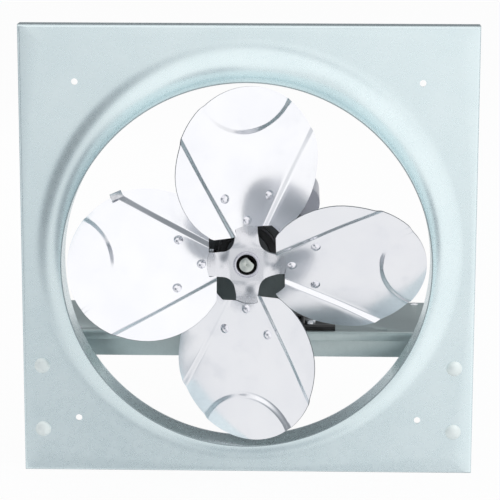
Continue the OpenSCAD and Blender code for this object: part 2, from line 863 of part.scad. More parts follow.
// Places of the cover's ears on the shell, with Z pointing straight out of it.
module cap_ear_places() {
    for (y = [cap_y + 14, cap_y + cap_len - 14], s = [-1, 1]) translate([0, y, 0])
        rotate([0, 90 - cap_angle + s * asin((cap_cover_r + 3.6) / shell_r), 0])
            translate([0, 0, shell_r]) children();
}

module capacitor_cover() {
    ear_t = 2;
    color(cover_grey) difference() {
        union() {
            at_xz(cap_at[0], cap_at[1], cap_y) cylinder(r = cap_cover_r, h = cap_len);
            cap_ear_places() translate([0, 0, -over]) cylinder(r = 8.5, h = ear_t + over);
        }
        at_xz(cap_at[0], cap_at[1], cap_y + box_t) cylinder(r = cap_cover_r - box_t, h = cap_len - 2 * box_t);
        along_y(cap_y - over) cylinder(r = shell_r, h = cap_len + 2 * over, $fn = 128);
        cap_ear_places() translate([0, 0, -over]) cylinder(r = screw_r, h = ear_t + 2 * over);
    }
}

module capacitor_cover_screws() {
    ear_t = 2;
    color(zinc) cap_ear_places() {
        cylinder(r = screw_r, h = ear_t);
        translate([0, 0, ear_t]) dome(4, 2);
    }
}

module terminal_box() {
    depth = box_out + 24;
    color(black_paint) difference() {
        union() {
            difference() {
                translate([box_x, box_y, -box_h / 2]) cube([depth, box_len, box_h]);
                translate([box_x - over, box_y + box_t, -box_h / 2 + box_t])
                    cube([depth + 2 * over, box_len - 2 * box_t, box_h - 2 * box_t]);
            }
            box_screw_places() translate([0, -boss / 2, -boss / 2]) cube(boss);
        }
        along_y(box_y - over) cylinder(r = shell_r, h = box_len + 2 * over, $fn = 128);
        at_xz(box_x + box_out / 2, 0, box_y + box_len - box_t - over)
            cylinder(d = conduit_d, h = box_t + 2 * over);
        box_screw_places() translate([-over, 0, 0]) rotate([0, 90, 0]) cylinder(r = screw_r, h = boss - 1);
    }
}

// Places of the cover's two screws, on the open side of the box and facing along X.
module box_screw_places() {
    for (z = [-1, 1]) translate([box_x, box_y + box_t + boss / 2, z * (box_h - boss - 2 * box_t) / 2])
        children();
}

module terminal_box_cover() {
    color(black_paint) difference() {
        translate([box_x - box_t, box_y, -box_h / 2]) cube([box_t, box_len, box_h]);
        box_screw_places() translate([-2 * box_t, 0, 0]) rotate([0, 90, 0])
            cylinder(r = screw_r, h = 3 * box_t);
    }
}

module terminal_box_screws() {
    color(zinc) box_screw_places() {
        translate([-box_t, 0, 0]) rotate([0, -90, 0]) dome(4.4, 2.2);
        translate([-box_t, 0, 0]) rotate([0, 90, 0]) cylinder(r = screw_r, h = box_t + boss - 3);
    }
}

module terminal_board() {
    size = [14, 30, 34];
    at = [-shell_r - 12, box_y + (box_len - size[1]) / 2, -size[2] / 2];
    color(board_brown) difference() {
        translate(at) cube(size);
        along_y(box_y - over) cylinder(r = shell_r, h = box_len + 2 * over, $fn = 128);
    }
    color(steel) for (z = [-11, 0, 11], y = [8, 22]) translate([at[0], at[1] + y, z]) rotate([0, -90, 0])
        cylinder(r = 2.6, h = 3);
}

module ground_screw() {
    color([0.30, 0.55, 0.32]) translate([box_x + box_out / 2, box_y + box_len / 2, -box_h / 2 + box_t])
        hex_prism(small_head_r, small_head_h);
}

// ---- Turning pieces -----------------------------------------------------------------------------

module shaft() {
    color(steel) difference() {
        union() {
            along_y(-shaft_out) cylinder(r = shaft_r, h = shaft_out + front_bearing_y);
            along_y(front_bearing_y) cylinder(r = journal_r, h = bearing_gap + 2 * bearing_w);
            along_y(front_bearing_y + bearing_w) cylinder(r = waist_r, h = bearing_gap);
        }
        rotate([0, 45, 0]) translate([-shaft_r, -shaft_out - over, shaft_r - flat_depth])
            cube([shaft_d, flat_len + over, shaft_d]);
        along_y(-shaft_out - eps) cylinder(r1 = 1.6, r2 = 0.4, h = 1.6, $fn = 48);
    }
}

module bar_places() {
    for (i = [0:bar_count - 1]) rotate([0, 0, i * 360 / bar_count]) translate([rotor_r - bar_r - 1.5, 0, 0])
        children();
}

module rotor_core() {
    color(core_steel) along_y(stack_y) difference() {
        ring(rotor_r, waist_r, stack_len, $fn = 128);
        bar_places() translate([0, 0, -over]) cylinder(r = bar_r, h = stack_len + 2 * over);
    }
}

module cage_end() {
    ring(rotor_r - 1, rotor_r - 16, 8);
    for (i = [0:vane_count - 1]) rotate([0, 0, i * 360 / vane_count])
        translate([rotor_r - 14, -1.5, 8 - eps]) cube([12, 3, 8]);
}

module rotor_cage() {
    color(cast_alloy) along_y() {
        bar_places() translate([0, 0, stack_y - eps]) cylinder(r = bar_r, h = stack_len + 2 * eps);
        translate([0, 0, stack_end]) cage_end();
        translate([0, 0, stack_y]) mirror([0, 0, 1]) cage_end();
    }
}

module slinger() {
    color(black_rubber) along_y(nose_front - 5) {
        ring(shaft_r + 7, shaft_r, 2);
        ring(shaft_r + 3, shaft_r, 4);
    }
}

module set_screw_places() {
    for (a = [45, 135]) translate([0, screw_y, 0]) rotate([0, a, 0]) children();
}

module hub() {
    color(steel) difference() {
        union() {
            along_y(hub_y) cylinder(d = hub_d, h = hub_len);
            along_y(spider_y - swage_h) cylinder(d = swage_d, h = swage_h);
            along_y(spider_y - eps) cylinder(r = collar_r, h = spider_t + 2 * eps);
        }
        along_y(spider_y - swage_h - over) cylinder(d = recess_d, h = over + swage_h + spider_t - 0.5);
        along_y(spider_y - swage_h - over)
            cylinder(r = shaft_r + hub_fit, h = swage_h + spider_t + hub_len + 2 * over);
        set_screw_places() cylinder(d = set_screw_d, h = hub_d);
    }
}

// Two socket screws, one on the flat and one on the round of the shaft.
module set_screws() {
    color([0.16, 0.16, 0.17]) for (q = [[45, shaft_r - flat_depth], [135, shaft_r]])
        translate([0, screw_y, 0]) rotate([0, q[0], 0]) difference() {
            union() {
                translate([0, 0, shaft_r + 0.5]) cylinder(d = set_screw_d, h = hub_d / 2 - shaft_r - 1);
                translate([0, 0, q[1]]) cylinder(d = set_screw_d - 1.4, h = shaft_r + 1 - q[1]);
            }
            translate([0, 0, hub_d / 2 - 3.5]) hex_prism(1.8, 4);
        }
}

// ---- Spider -------------------------------------------------------------------------------------

function smooth(t) = let (c = min(max(t, 0), 1)) c * c * (3 - 2 * c);

corner = arm_half + arm_fillet * (1 - sqrt(0.5));
neck_r = arm_half + arm_fillet;
twist_r = root_r - 8;
flare_r = rivet_out_r - 4;

// Half width of an arm at a distance from the axis: fillet, neck, flare and rounded end.
function arm_w(r) =
    r <= corner ? corner
    : r < neck_r ? neck_r - sqrt(arm_fillet * arm_fillet - pow(neck_r - r, 2))
    : r < root_r ? arm_half
    : r < flare_r ? arm_half + (paddle_half - arm_half) * (r - root_r) / (flare_r - root_r)
    : paddle_half - (paddle_half - 26) * pow((r - flare_r) / (paddle_r - flare_r), 2);

function arm_twist(r) = pitch * smooth((r - corner) / (twist_r - corner));

arm_stations = concat(
    [0.6 * corner],
    [for (i = [0:6]) corner + (neck_r - corner) * i / 6],
    [for (i = [1:4]) neck_r + (twist_r - neck_r) * i / 4],
    [root_r, flare_r],
    [for (i = [1:6]) flare_r + (paddle_r - flare_r) * i / 6]);

// Corners of the section at a distance from the axis: front face first, then the back face.
function arm_section(r) = let (w = arm_w(r), a = arm_twist(r)) [
    for (q = [[-w, 0], [w, 0], [w, -spider_t], [-w, -spider_t]])
        [q[0] * cos(a) + q[1] * sin(a), q[0] * sin(a) - q[1] * cos(a), r]
];

module spider_arm() {
    n = len(arm_stations);
    points = [for (r = arm_stations) each arm_section(r)];
    walls = [for (i = [0:n - 2], k = [0:3]) let (a = 4 * i + k, b = 4 * i + (k + 1) % 4) each [
        [a, a + 4, b + 4], [a, b + 4, b]]];
    polyhedron(points, concat(walls, [[0, 1, 2], [0, 2, 3]],
        [[4 * n - 4, 4 * n - 2, 4 * n - 3], [4 * n - 4, 4 * n - 1, 4 * n - 2]]), convexity = 6);
}

module rivet_holes() {
    for (q = [[rivet_in_r, 0], [rivet_out_r, rivet_out_v], [rivet_out_r, -rivet_out_v]])
        rotate([0, 0, pitch]) translate([q[1], 0, q[0]]) children();
}

module each_blade() {
    for (k = [0:3]) translate([0, spider_y, 0]) rotate([0, 90 * k, 0]) children();
}

module spider() {
    color(bright_sheet) difference() {
        union() {
            each_blade() spider_arm();
            translate([-corner, spider_y, -corner]) cube([2 * corner, spider_t, 2 * corner]);
        }
        along_y(spider_y - over) cylinder(r = collar_r, h = spider_t + 2 * over);
        each_blade() rivet_holes() rotate([90, 0, 0]) cylinder(d = rivet_d, h = 4 * spider_t, center = true);
    }
}

// ---- Blades -------------------------------------------------------------------------------------

edge_angle = asin(blade_round / blade_c) - 0.3;

// A blade is a fan of straight columns from its root to its far edge: [angle, sideways offset].
half_columns = [
    [6, 0], [12, 0], [15.5, 0], [17.3, 0], [19, 0], [22, 0], [25, -1.6],
    [step_angle, -step_w / 2 - step_in], [step_angle, step_w / 2 - step_in],
    [36, 0], [40, 0], [44, 0], [47.5, 0], [50.5, 0], [edge_angle, 0]
];
columns = concat(
    [for (i = [len(half_columns) - 1:-1:0]) -half_columns[i]], [[0, 0]], half_columns);

// Distance along a column to a circle round a point on the blade's middle line, near (-1) or far (1).
function circle_s(c, centre, r, side) = let (q = r * r - pow(c[1] + centre * sin(c[0]), 2))
    q > 0 ? centre * cos(c[0]) + side * sqrt(q) : -1;

// Distance along a column to a straight edge across the blade.
function straight_s(c, u) = (u + c[1] * sin(c[0])) / cos(c[0]);

// The root edge is an arc over the arm with a straight edge on each side, inside the round outline.
function root_s(c) = let (arc = sqrt(root_r * root_r - c[1] * c[1])) max(
    circle_s(c, blade_c, blade_round, -1),
    c[0] < 0 ? arc + (straight_s(c, root_near) - arc) * smooth((-c[0] - 18) / 8)
        : max(arc, min(straight_s(c, root_far), root_out)));

// The far edge follows the round outline and is trimmed to the tip circle, seen along the shaft.
function far_s(c) = min(circle_s(c, blade_c, blade_round, 1),
    tip_r / norm([cos(c[0]), sin(c[0]) * cos(pitch)]));

function column_rows(c) = let (
    near = root_s(c), far = far_s(c),
    fold = circle_s(c, arc_c, arc_r + step_w / 2, -1), land = circle_s(c, arc_c, arc_r - step_w / 2, -1),
    a = fold > 0 && fold < far - 3 ? fold : near + 0.9 * (far - near),
    b = land > 0 && land < far - 1.5 ? land : a + (far - a) / 4)
    concat([for (i = [0:9]) near + (a - near) * i / 9], [for (i = [0:3]) b + (far - b) * i / 3]);

// Point of the blade plane on a column: [along the blade, across it].
function column_point(c, s) = [s * cos(c[0]) - c[1] * sin(c[0]), s * sin(c[0]) + c[1] * cos(c[0])];

// Height of the sheet's back face over the blade plane: rolled hollow and pressed steps.
function past_steps(u, v) = max(abs(v) * cos(step_angle) - u * sin(step_angle) + step_in,
    arc_r - norm([u - arc_c, v]));
function sheet_h(u, v) = smooth((u - paddle_r) / camber_run) * v * v / (2 * camber_r)
    + step_h * min(max(past_steps(u, v) / step_w + 0.5, 0), 1);

blade_rows = 14;
blade_grid = [for (c = columns) for (s = column_rows(c)) column_point(c, s)];

module blade_sheet() {
    m = len(columns);
    n = m * blade_rows;
    points = concat(
        [for (p = blade_grid) [p[1], -sheet_h(p[0], p[1]) - blade_t, p[0]]],
        [for (p = blade_grid) [p[1], -sheet_h(p[0], p[1]), p[0]]]);
    front = [for (i = [0:m - 2], j = [0:blade_rows - 2]) let (a = i * blade_rows + j, d = a + blade_rows)
        each [[a, a + 1, d + 1], [a, d + 1, d]]];
    back = [for (f = front) [f[0] + n, f[2] + n, f[1] + n]];
    rim = concat(
        [for (j = [0:blade_rows - 2]) [j, j + 1]],
        [for (i = [0:m - 2]) [(i + 1) * blade_rows - 1, (i + 2) * blade_rows - 1]],
        [for (j = [blade_rows - 2:-1:0]) [(m - 1) * blade_rows + j + 1, (m - 1) * blade_rows + j]],
        [for (i = [m - 2:-1:0]) [(i + 1) * blade_rows, i * blade_rows]]);
    edge = [for (e = rim) each [[e[1], e[0], e[0] + n], [e[1], e[0] + n, e[1] + n]]];
    polyhedron(points, concat(front, back, edge), convexity = 8);
}

module blade(k) {
    color(bright_sheet) translate([0, spider_y, 0]) rotate([0, 90 * k, 0]) difference() {
        rotate([0, 0, pitch]) rotate([0, -blade_skew, 0]) blade_sheet();
        rivet_holes() rotate([90, 0, 0]) cylinder(d = rivet_d, h = 6 * blade_t, center = true);
    }
}

module blade_rivets() {
    color(bright_sheet) each_blade() rivet_holes() rotate([90, 0, 0]) {
        translate([0, 0, blade_t]) dome(rivet_head_d / 2, 3.6);
        translate([0, 0, -spider_t]) cylinder(d = rivet_d, h = spider_t + blade_t);
        translate([0, 0, -spider_t]) mirror([0, 0, 1]) dome(rivet_head_d / 2, 2.2);
    }
}

// Spring clip pushed over the edge of one blade, where its straight step runs out.
module balance_clip() {
    clip = [16, 9.5];
    wall = 1.2;
    line = [step_angle, -step_in];
    at = column_point(line, far_s(line));
    low = at[1] * at[1] / (2 * camber_r) - 0.9;
    tall = step_h + blade_t + 1.8;
    turn = atan2(at[1], at[0] - blade_c);
    color(steel) translate([0, spider_y, 0]) rotate([0, 270, 0]) rotate([0, 0, pitch]) rotate([0, -blade_skew, 0])
        translate([at[1], 0, at[0]]) rotate([0, turn, 0]) difference() {
            translate([-clip[0] / 2, -low - tall - wall, 2.5 - clip[1]])
                cube([clip[0], tall + 2 * wall, clip[1]]);
            translate([-clip[0], -low - tall, 1.3 - clip[1] - over]) cube([2 * clip[0], tall, clip[1]]);
        }
}

venturi_panel();
support_leg_left();
support_leg_right();
carriage_bolts();
carriage_nuts();
motor_platform();
cross_rail_front();
cross_rail_rear();
rail_rivets();
platform_bolts();
platform_nuts();
riser_pad();
motor_riser();
riser_bolts();
riser_nuts();
motor_cradle();
cradle_bolts();
cradle_nuts();
cushion_rings();
cradle_clamps();
clamp_screws();
motor_shell();
front_end_shield();
rear_end_shield();
through_bolts();
through_bolt_nuts();
stator_core();
stator_windings();
bearing_outer_races();
wave_washer();
start_switch();
capacitor();
capacitor_cover();
capacitor_cover_screws();
terminal_box();
terminal_box_cover();
terminal_box_screws();
terminal_board();
ground_screw();
shaft();
rotor_core();
rotor_cage();
bearing_inner_races();
bearing_balls();
bearing_cages();
switch_actuator();
slinger();
hub();
set_screws();
spider();
blade(0);  // blade_top
blade(1);  // blade_right
blade(2);  // blade_bottom
blade(3);  // blade_left
blade_rivets();
balance_clip();
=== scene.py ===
import math

import bmesh
import bpy
import numpy as np
from mathutils import Matrix, Vector


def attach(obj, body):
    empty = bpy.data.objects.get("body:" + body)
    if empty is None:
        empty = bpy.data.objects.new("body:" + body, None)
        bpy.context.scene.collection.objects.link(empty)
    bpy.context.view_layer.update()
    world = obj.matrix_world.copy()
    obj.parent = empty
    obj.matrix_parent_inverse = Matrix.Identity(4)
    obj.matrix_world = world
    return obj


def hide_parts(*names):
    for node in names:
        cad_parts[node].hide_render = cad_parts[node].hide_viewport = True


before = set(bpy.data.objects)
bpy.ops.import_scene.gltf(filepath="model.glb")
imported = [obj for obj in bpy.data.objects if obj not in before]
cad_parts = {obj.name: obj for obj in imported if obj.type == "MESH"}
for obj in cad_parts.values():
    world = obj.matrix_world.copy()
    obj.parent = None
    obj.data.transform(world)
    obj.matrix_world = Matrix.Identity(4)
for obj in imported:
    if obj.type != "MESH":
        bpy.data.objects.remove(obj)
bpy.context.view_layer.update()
scene = bpy.context.scene
scene.view_settings.view_transform = "Standard"

# ---- Camera --------------------------------------------------------------------------------------
# A long lens stands about three metres in front of the discharge side, a little above the shaft.
# Its place is solved from the panel's corners, holes and bolts, in degrees and millimetres.

metre = 1000  # Sizes of the fan are written in millimetres.
camera_yaw, camera_pitch, camera_roll = (math.radians(a) for a in (1.375, 11.736, 0.115))
camera_target = Vector((2.58, 0, 4.59))
camera_distance = 2920.9

camera_data = bpy.data.cameras.new("camera")
camera_data.sensor_fit = "HORIZONTAL"
camera_data.sensor_width = 36
camera_data.lens = 157.08
camera = bpy.data.objects.new("camera", camera_data)
scene.collection.objects.link(camera)
scene.camera = camera

back = Vector((math.sin(camera_yaw) * math.cos(camera_pitch),
               -math.cos(camera_yaw) * math.cos(camera_pitch), math.sin(camera_pitch)))
level = Vector((0, 0, 1)).cross(back).normalized()
upright = back.cross(level)
across = math.cos(camera_roll) * level + math.sin(camera_roll) * upright
camera_matrix = Matrix((across, back.cross(across), back)).transposed().to_4x4()
camera_matrix.translation = (camera_target + camera_distance * back) / metre
camera.matrix_world = camera_matrix

# ---- Studio --------------------------------------------------------------------------------------
# A pale floor in a plain white room, with a broad lamp in front on the right, a weaker one behind
# on the left and the room's own light. Metal mirrors that room with brighter and darker areas.


class Wire:
    """An output of a node. Sums, products and differences of wires add Math nodes."""

    def __init__(self, nodes, socket):
        self.nodes, self.socket = nodes, socket

    def math(self, operation, *values):
        return self.nodes.add("ShaderNodeMath", {"operation": operation}, dict(enumerate(values)))

    def __add__(self, other):
        return self.math("ADD", self, other)

    def __rsub__(self, other):
        return self.math("SUBTRACT", other, self)

    def __mul__(self, other):
        return self.math("MULTIPLY", self, other)

    __radd__ = __add__
    __rmul__ = __mul__


class Nodes:
    """A node tree that is written as expressions: a material's, the world's or a modifier's."""

    def __init__(self, tree):
        self.tree = tree

    def add(self, kind, settings=None, inputs=None, output=0):
        """Adds one node, its settings before its sockets, and gives the output asked for."""
        node = self.tree.nodes.new(kind)
        for name, value in (settings or {}).items():
            setattr(node, name, value)
        for name, value in (inputs or {}).items():
            self.feed(node.inputs[name], value)
        return Wire(self, node.outputs[output]) if len(node.outputs) else None

    def feed(self, socket, value):
        """Links a wire to a socket, or sets a plain value on it."""
        if isinstance(value, Wire):
            self.tree.links.new(value.socket, socket)
        else:
            socket.default_value = value

    def step(self, value, start, end):
        """A soft step from 0 to 1 as the value goes from start to end."""
        return self.add("ShaderNodeMapRange", {"interpolation_type": "SMOOTHSTEP"},
                        {"Value": value, "From Min": start, "From Max": end})

    def blend(self, first, second, factor):
        """A colour between two. The Mix node's colours are its inputs 6 and 7 and its output 2."""
        return self.add("ShaderNodeMix", {"data_type": "RGBA"}, {0: factor, 6: first, 7: second},
                        output=2)

    def either(self, first, second, factor):
        """The first shader where the factor is 0, the second where it is 1."""
        return self.add("ShaderNodeMixShader", inputs={0: factor, 1: first, 2: second})

    def toward(self, direction, aim, start, end):
        """How near a direction is to an aim, from 0 at the first cosine to 1 at the second."""
        cosine = self.add("ShaderNodeVectorMath", {"operation": "DOT_PRODUCT"},
                          {0: direction, 1: Vector(aim).normalized()}, output="Value")
        return self.step(cosine, start, end)


world = bpy.data.worlds.new("studio")
scene.world = world
world.use_nodes = True
world.node_tree.nodes.clear()
room = Nodes(world.node_tree)
look = room.add("ShaderNodeTexCoord", output="Generated")
# Each area: degrees to the right of the front, degrees up, its outer and inner radius in degrees,
# and what it adds to the walls' level.
areas = ((-35, 62, 40, 30, 0.25), (5, 48, 34, 12, 0.22), (42, -4, 52, 18, 0.50),
         (68, 33, 26, 12, 0.20), (-35, 4, 28, 9, -0.60), (-106, 8, 34, 14, -0.50),
         (102, 0, 18, 7, -0.50), (180, 17, 27, 12, -0.70), (163, -56, 32, 14, -0.58),
         (-3, -22, 13, 4, -0.50), (2, -47, 16, 6, -0.40), (-117, 70, 18, 7, -0.43),
         (11, 17, 13, 6, -0.40))
wall_level, brightest, plain_level = 0.90, 1.07, 0.62
mirror_level = wall_level
for aside, above, outer, inner, strength in areas:
    aside, above = math.radians(aside), math.radians(above)
    aim = (math.cos(above) * math.sin(aside), -math.cos(above) * math.cos(aside), math.sin(above))
    mirror_level = mirror_level + strength * room.toward(
        look, aim, math.cos(math.radians(outer)), math.cos(math.radians(inner)))
mirror_level = mirror_level.math("MINIMUM", mirror_level, brightest)
# The darker a part of the room, the bluer it is.
mirror_colour = room.blend((1, 1, 1, 1), (0.88, 0.94, 1, 1), room.step(mirror_level, 1.0, 0.5))
mirrored = room.add("ShaderNodeBackground",
                    inputs={"Color": mirror_colour, "Strength": mirror_level})
plain = room.add("ShaderNodeBackground",
                 inputs={"Color": (0.97, 0.98, 1, 1), "Strength": plain_level})
white = room.add("ShaderNodeBackground", inputs={"Color": (1, 1, 1, 1), "Strength": 1.0})
rays = {name: room.add("ShaderNodeLightPath", output=name)
        for name in ("Is Camera Ray", "Is Glossy Ray", "Is Transmission Ray")}
seen = room.either(plain, mirrored, rays["Is Glossy Ray"])
shown = room.either(seen, white, rays["Is Camera Ray"] + rays["Is Transmission Ray"])
room.add("ShaderNodeOutputWorld", inputs={"Surface": shown})


def area_lamp(name, place, size, watts):
    """A plain square lamp that faces the fan and isn't itself in the picture."""
    data = bpy.data.lights.new(name, "AREA")
    data.size, data.energy = size, watts
    lamp = bpy.data.objects.new(name, data)
    lamp.matrix_world = Vector(place).to_track_quat("Z", "Y").to_matrix().to_4x4()
    lamp.matrix_world.translation = Vector(place)
    lamp.visible_camera = lamp.visible_glossy = False
    scene.collection.objects.link(lamp)


area_lamp("broad_lamp", place=(1.9, -2.3, 2.0), size=2.6, watts=46)
area_lamp("rear_lamp", place=(-1.2, 2.6, 1.6), size=2.2, watts=16)

# The camera sees the floor as nearly white with a faint shadow, and metal sees the room through it.
floor_half, floor_z = 40.0, -0.3052
floor_data = bpy.data.meshes.new("floor")
floor_data.from_pydata([(x * floor_half, y * floor_half, floor_z)
                        for x, y in ((-1, -1), (1, -1), (1, 1), (-1, 1))], [], [(0, 1, 2, 3)])
floor = bpy.data.objects.new("floor", floor_data)
scene.collection.objects.link(floor)
floor_paint = bpy.data.materials.new("pale_floor")
floor_paint.use_nodes = True
floor_paint.node_tree.nodes.clear()
ground = Nodes(floor_paint.node_tree)
matt = ground.add("ShaderNodeBsdfDiffuse", inputs={"Color": (0.86, 0.86, 0.87, 1)})
glow = ground.add("ShaderNodeEmission", inputs={"Color": (1, 1, 1, 1), "Strength": 1.0})
clear = ground.add("ShaderNodeBsdfTransparent")
glow_share = 0.95 * ground.add("ShaderNodeLightPath", output="Is Camera Ray")
pale = ground.either(matt, glow, glow_share)
both = ground.either(pale, clear, ground.add("ShaderNodeLightPath", output="Is Glossy Ray"))
ground.add("ShaderNodeOutputMaterial", inputs={"Surface": both})
floor_data.materials.append(floor_paint)

# ---- Venturi panel -------------------------------------------------------------------------------
# One galvanised sheet, 1.6 mm thick: folded back along its four edges and drawn forward into the
# round throat. Four plain holes take the wall bolts.


class Finish(Nodes):
    """A material on one Principled shader, whose constant values sit on its own sockets."""

    def __init__(self, name, **fixed):
        self.material = bpy.data.materials.new(name)
        self.material.use_nodes = True
        super().__init__(self.material.node_tree)
        self.shader = self.tree.nodes["Principled BSDF"]
        self.place = self.add("ShaderNodeTexCoord", output="Object")
        for name, value in fixed.items():
            self.shader.inputs[name.replace("_", " ")].default_value = value

    def spots(self, size_mm, detail=2.0, stretch=(1, 1, 1)):
        """Cloudy noise between 0 and 1, with patches of about the size given."""
        where = self.add("ShaderNodeMapping", inputs={"Vector": self.place, "Scale": stretch})
        return self.add("ShaderNodeTexNoise",
                        inputs={"Vector": where, "Scale": metre / size_mm, "Detail": detail})

    def paint(self, colour, roughness, height=None, depth_mm=0.1, **varying):
        """Feeds what varies over the surface to the shader and gives the finished material."""
        self.feed(self.shader.inputs["Base Color"], colour)
        self.feed(self.shader.inputs["Roughness"], roughness)
        for name, value in varying.items():
            self.feed(self.shader.inputs[name.replace("_", " ")], value)
        if height is not None:
            bump = self.add("ShaderNodeBump", inputs={
                "Strength": 0.5, "Distance": depth_mm / metre, "Height": height})
            self.feed(self.shader.inputs["Normal"], bump)
        return self.material


def zinc_sheet(name, pale, deep, roughness, crystal_mm, metallic=0.9, cut_y=None):
    """Hot-dipped zinc: faint crystals, cloudy patches, a fine grain and a darker sheared rim."""
    zinc = Finish(name, Metallic=metallic)
    crystals = zinc.add("ShaderNodeTexVoronoi",
                        inputs={"Vector": zinc.place, "Scale": metre / crystal_mm}, output="Color")
    crystal = zinc.add("ShaderNodeSeparateColor", inputs={"Color": crystals})
    clouds, grain = zinc.spots(size_mm=70, detail=3), zinc.spots(size_mm=2.2, detail=4)
    mottle = 0.12 * crystal + 0.58 * clouds + 0.30 * grain
    colour = zinc.blend(deep, pale, zinc.step(mottle, 0.25, 0.75))
    if cut_y is not None:
        sheared, blur = (0.36, 0.43, 0.45, 1), 0.3
        along = zinc.add("ShaderNodeSeparateXYZ", inputs={"Vector": zinc.place}, output="Y")
        colour = zinc.blend(sheared, colour,
                            zinc.step(along, (cut_y - blur) / metre, (cut_y + blur) / metre))
    return zinc.paint(colour, roughness - 0.04 + 0.02 * crystal + 0.06 * grain,
                      height=grain, depth_mm=0.02)


def new_piece(name, mesh, body, node_names, material=None, sharp=35):
    """Puts a finished mesh on a body in place of the CAD nodes that it stands for.

    Edges that bend by more than sharp degrees stay sharp. With 0 the mesh keeps its own normals."""
    for face in mesh.polygons:
        face.use_smooth = True
    if sharp:
        mesh.set_sharp_from_angle(angle=math.radians(sharp))
    if material:
        mesh.materials.clear()
        mesh.materials.append(material)
    piece = bpy.data.objects.new(name, mesh)
    scene.collection.objects.link(piece)
    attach(piece, body)
    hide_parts(*node_names)


def woven(name, rows, round_rows=True, round_stack=False, caps=False, unit=metre):
    """A mesh from rows of points, with a face between every four neighbours.

    The rows are in millimetres unless unit says how many of their units make a metre."""
    rows = np.asarray(rows, float)
    stack, count = rows.shape[:2]
    mesh = bmesh.new()
    points = [[mesh.verts.new(p / unit) for p in row] for row in rows]
    for i in range(stack if round_stack else stack - 1):
        for j in range(count if round_rows else count - 1):
            above, beside = (i + 1) % stack, (j + 1) % count
            mesh.faces.new((points[i][j], points[i][beside],
                            points[above][beside], points[above][j]))
    if caps:
        mesh.faces.new(points[0])
        mesh.faces.new(points[-1])
    if round_stack or caps:
        bmesh.ops.recalc_face_normals(mesh, faces=mesh.faces)
    data = bpy.data.meshes.new(name)
    mesh.to_mesh(data)
    mesh.free()
    return data


def finished(holder):
    """The mesh that an object's modifiers make, taken off the object."""
    scene.collection.objects.link(holder)
    bpy.context.view_layer.update()
    depsgraph = bpy.context.evaluated_depsgraph_get()
    mesh = bpy.data.meshes.new_from_object(holder.evaluated_get(depsgraph))
    bpy.data.objects.remove(holder)
    return mesh


def shaped(mesh, *modifiers):
    """The mesh after modifiers are applied, each given as its type and settings."""
    for face in mesh.polygons:
        face.use_smooth = True
    holder = bpy.data.objects.new("holder", mesh)
    for kind, settings in modifiers:
        modifier = holder.modifiers.new(kind, kind)
        for key, value in settings.items():
            setattr(modifier, key, value)
    return finished(holder)


def drilled(mesh, *pins):
    """The mesh with round holes: each pin is a centre, an axis, a radius and a length."""
    cutter = bmesh.new()
    for centre, axis, radius, length in pins:
        turn = Vector(axis).to_track_quat("Z", "Y").to_matrix().to_4x4()
        turn.translation = Vector(centre) / metre
        bmesh.ops.create_cone(cutter, cap_ends=True, segments=64, radius1=radius / metre,
                              radius2=radius / metre, depth=length / metre, matrix=turn)
    data = bpy.data.meshes.new("cutter")
    cutter.to_mesh(data)
    cutter.free()
    tool = bpy.data.objects.new("cutter", data)
    scene.collection.objects.link(tool)
    result = shaped(mesh, ("BOOLEAN", {"object": tool, "solver": "EXACT"}))
    bpy.data.objects.remove(tool)
    return result


panel_half, panel_t, flange_end, fold_r = 305, 1.6, 32, 4
throat_r, lip_y, bell_round = 240.8, -90, 45
bell_r = throat_r + panel_t + bell_round
bell_start = lip_y + 22
wall_hole_at, wall_hole_r, wall_pin_length = 230, 4.4, 12
edge_break = 0.35
round_turn = np.linspace(0, 2 * math.pi, 360, endpoint=False)
square_turn = 1 / np.maximum(abs(np.cos(round_turn)), abs(np.sin(round_turn)))


def panel_ring(size, y, squareness=0.0):
    """A closed row of points round the axis: a circle, a square or something between them."""
    out = size * (1 - squareness + squareness * square_turn)
    return np.stack([out * np.cos(round_turn), np.full_like(out, y), out * np.sin(round_turn)],
                    axis=1)


def bell(radius, angles):
    """Rows of the round bend from the throat to the flat face."""
    return [panel_ring(bell_r - radius * math.cos(a), -bell_round + radius * math.sin(a))
            for a in angles]


def fold(radius, angles):
    """Rows of the bend from the flat face to the flange."""
    return [panel_ring(panel_half - fold_r + radius * math.sin(a), fold_r - radius * math.cos(a), 1)
            for a in angles]


def land(y):
    """Rows of the flat face, which go over from round to square."""
    flat = panel_half - fold_r
    return [panel_ring(bell_r + (flat - bell_r) * t, y, t) for t in (0.08, 0.4, 0.75)]


bell_turn, fold_turn = np.linspace(0, math.pi / 2, 19), np.linspace(0, math.pi / 2, 7)
panel_rows = [panel_ring(throat_r + panel_t - edge_break, lip_y),
              panel_ring(throat_r + panel_t, lip_y + edge_break),
              panel_ring(throat_r + panel_t, bell_start)]
panel_rows += bell(bell_round, bell_turn) + land(0) + fold(fold_r, fold_turn)
panel_rows += [panel_ring(panel_half, flange_end - edge_break, 1),
               panel_ring(panel_half - edge_break, flange_end, 1),
               panel_ring(panel_half - panel_t + edge_break, flange_end, 1),
               panel_ring(panel_half - panel_t, flange_end - edge_break, 1)]
panel_rows += fold(fold_r - panel_t, fold_turn[::-1]) + land(panel_t)[::-1]
panel_rows += bell(bell_round + panel_t, bell_turn[::-1])
panel_rows += [panel_ring(throat_r, bell_start), panel_ring(throat_r, lip_y + edge_break),
               panel_ring(throat_r + edge_break, lip_y)]
galvanised = zinc_sheet("galvanised", (0.79, 0.89, 0.91, 1), (0.73, 0.84, 0.865, 1),
                        roughness=0.28, crystal_mm=7, cut_y=lip_y + 2 * edge_break)
wall_pins = [((x * wall_hole_at, 0, z * wall_hole_at), (0, 1, 0), wall_hole_r, wall_pin_length)
             for x in (-1, 1) for z in (-1, 1)]
panel_mesh = drilled(woven("panel_sheet", panel_rows, round_stack=True), *wall_pins)
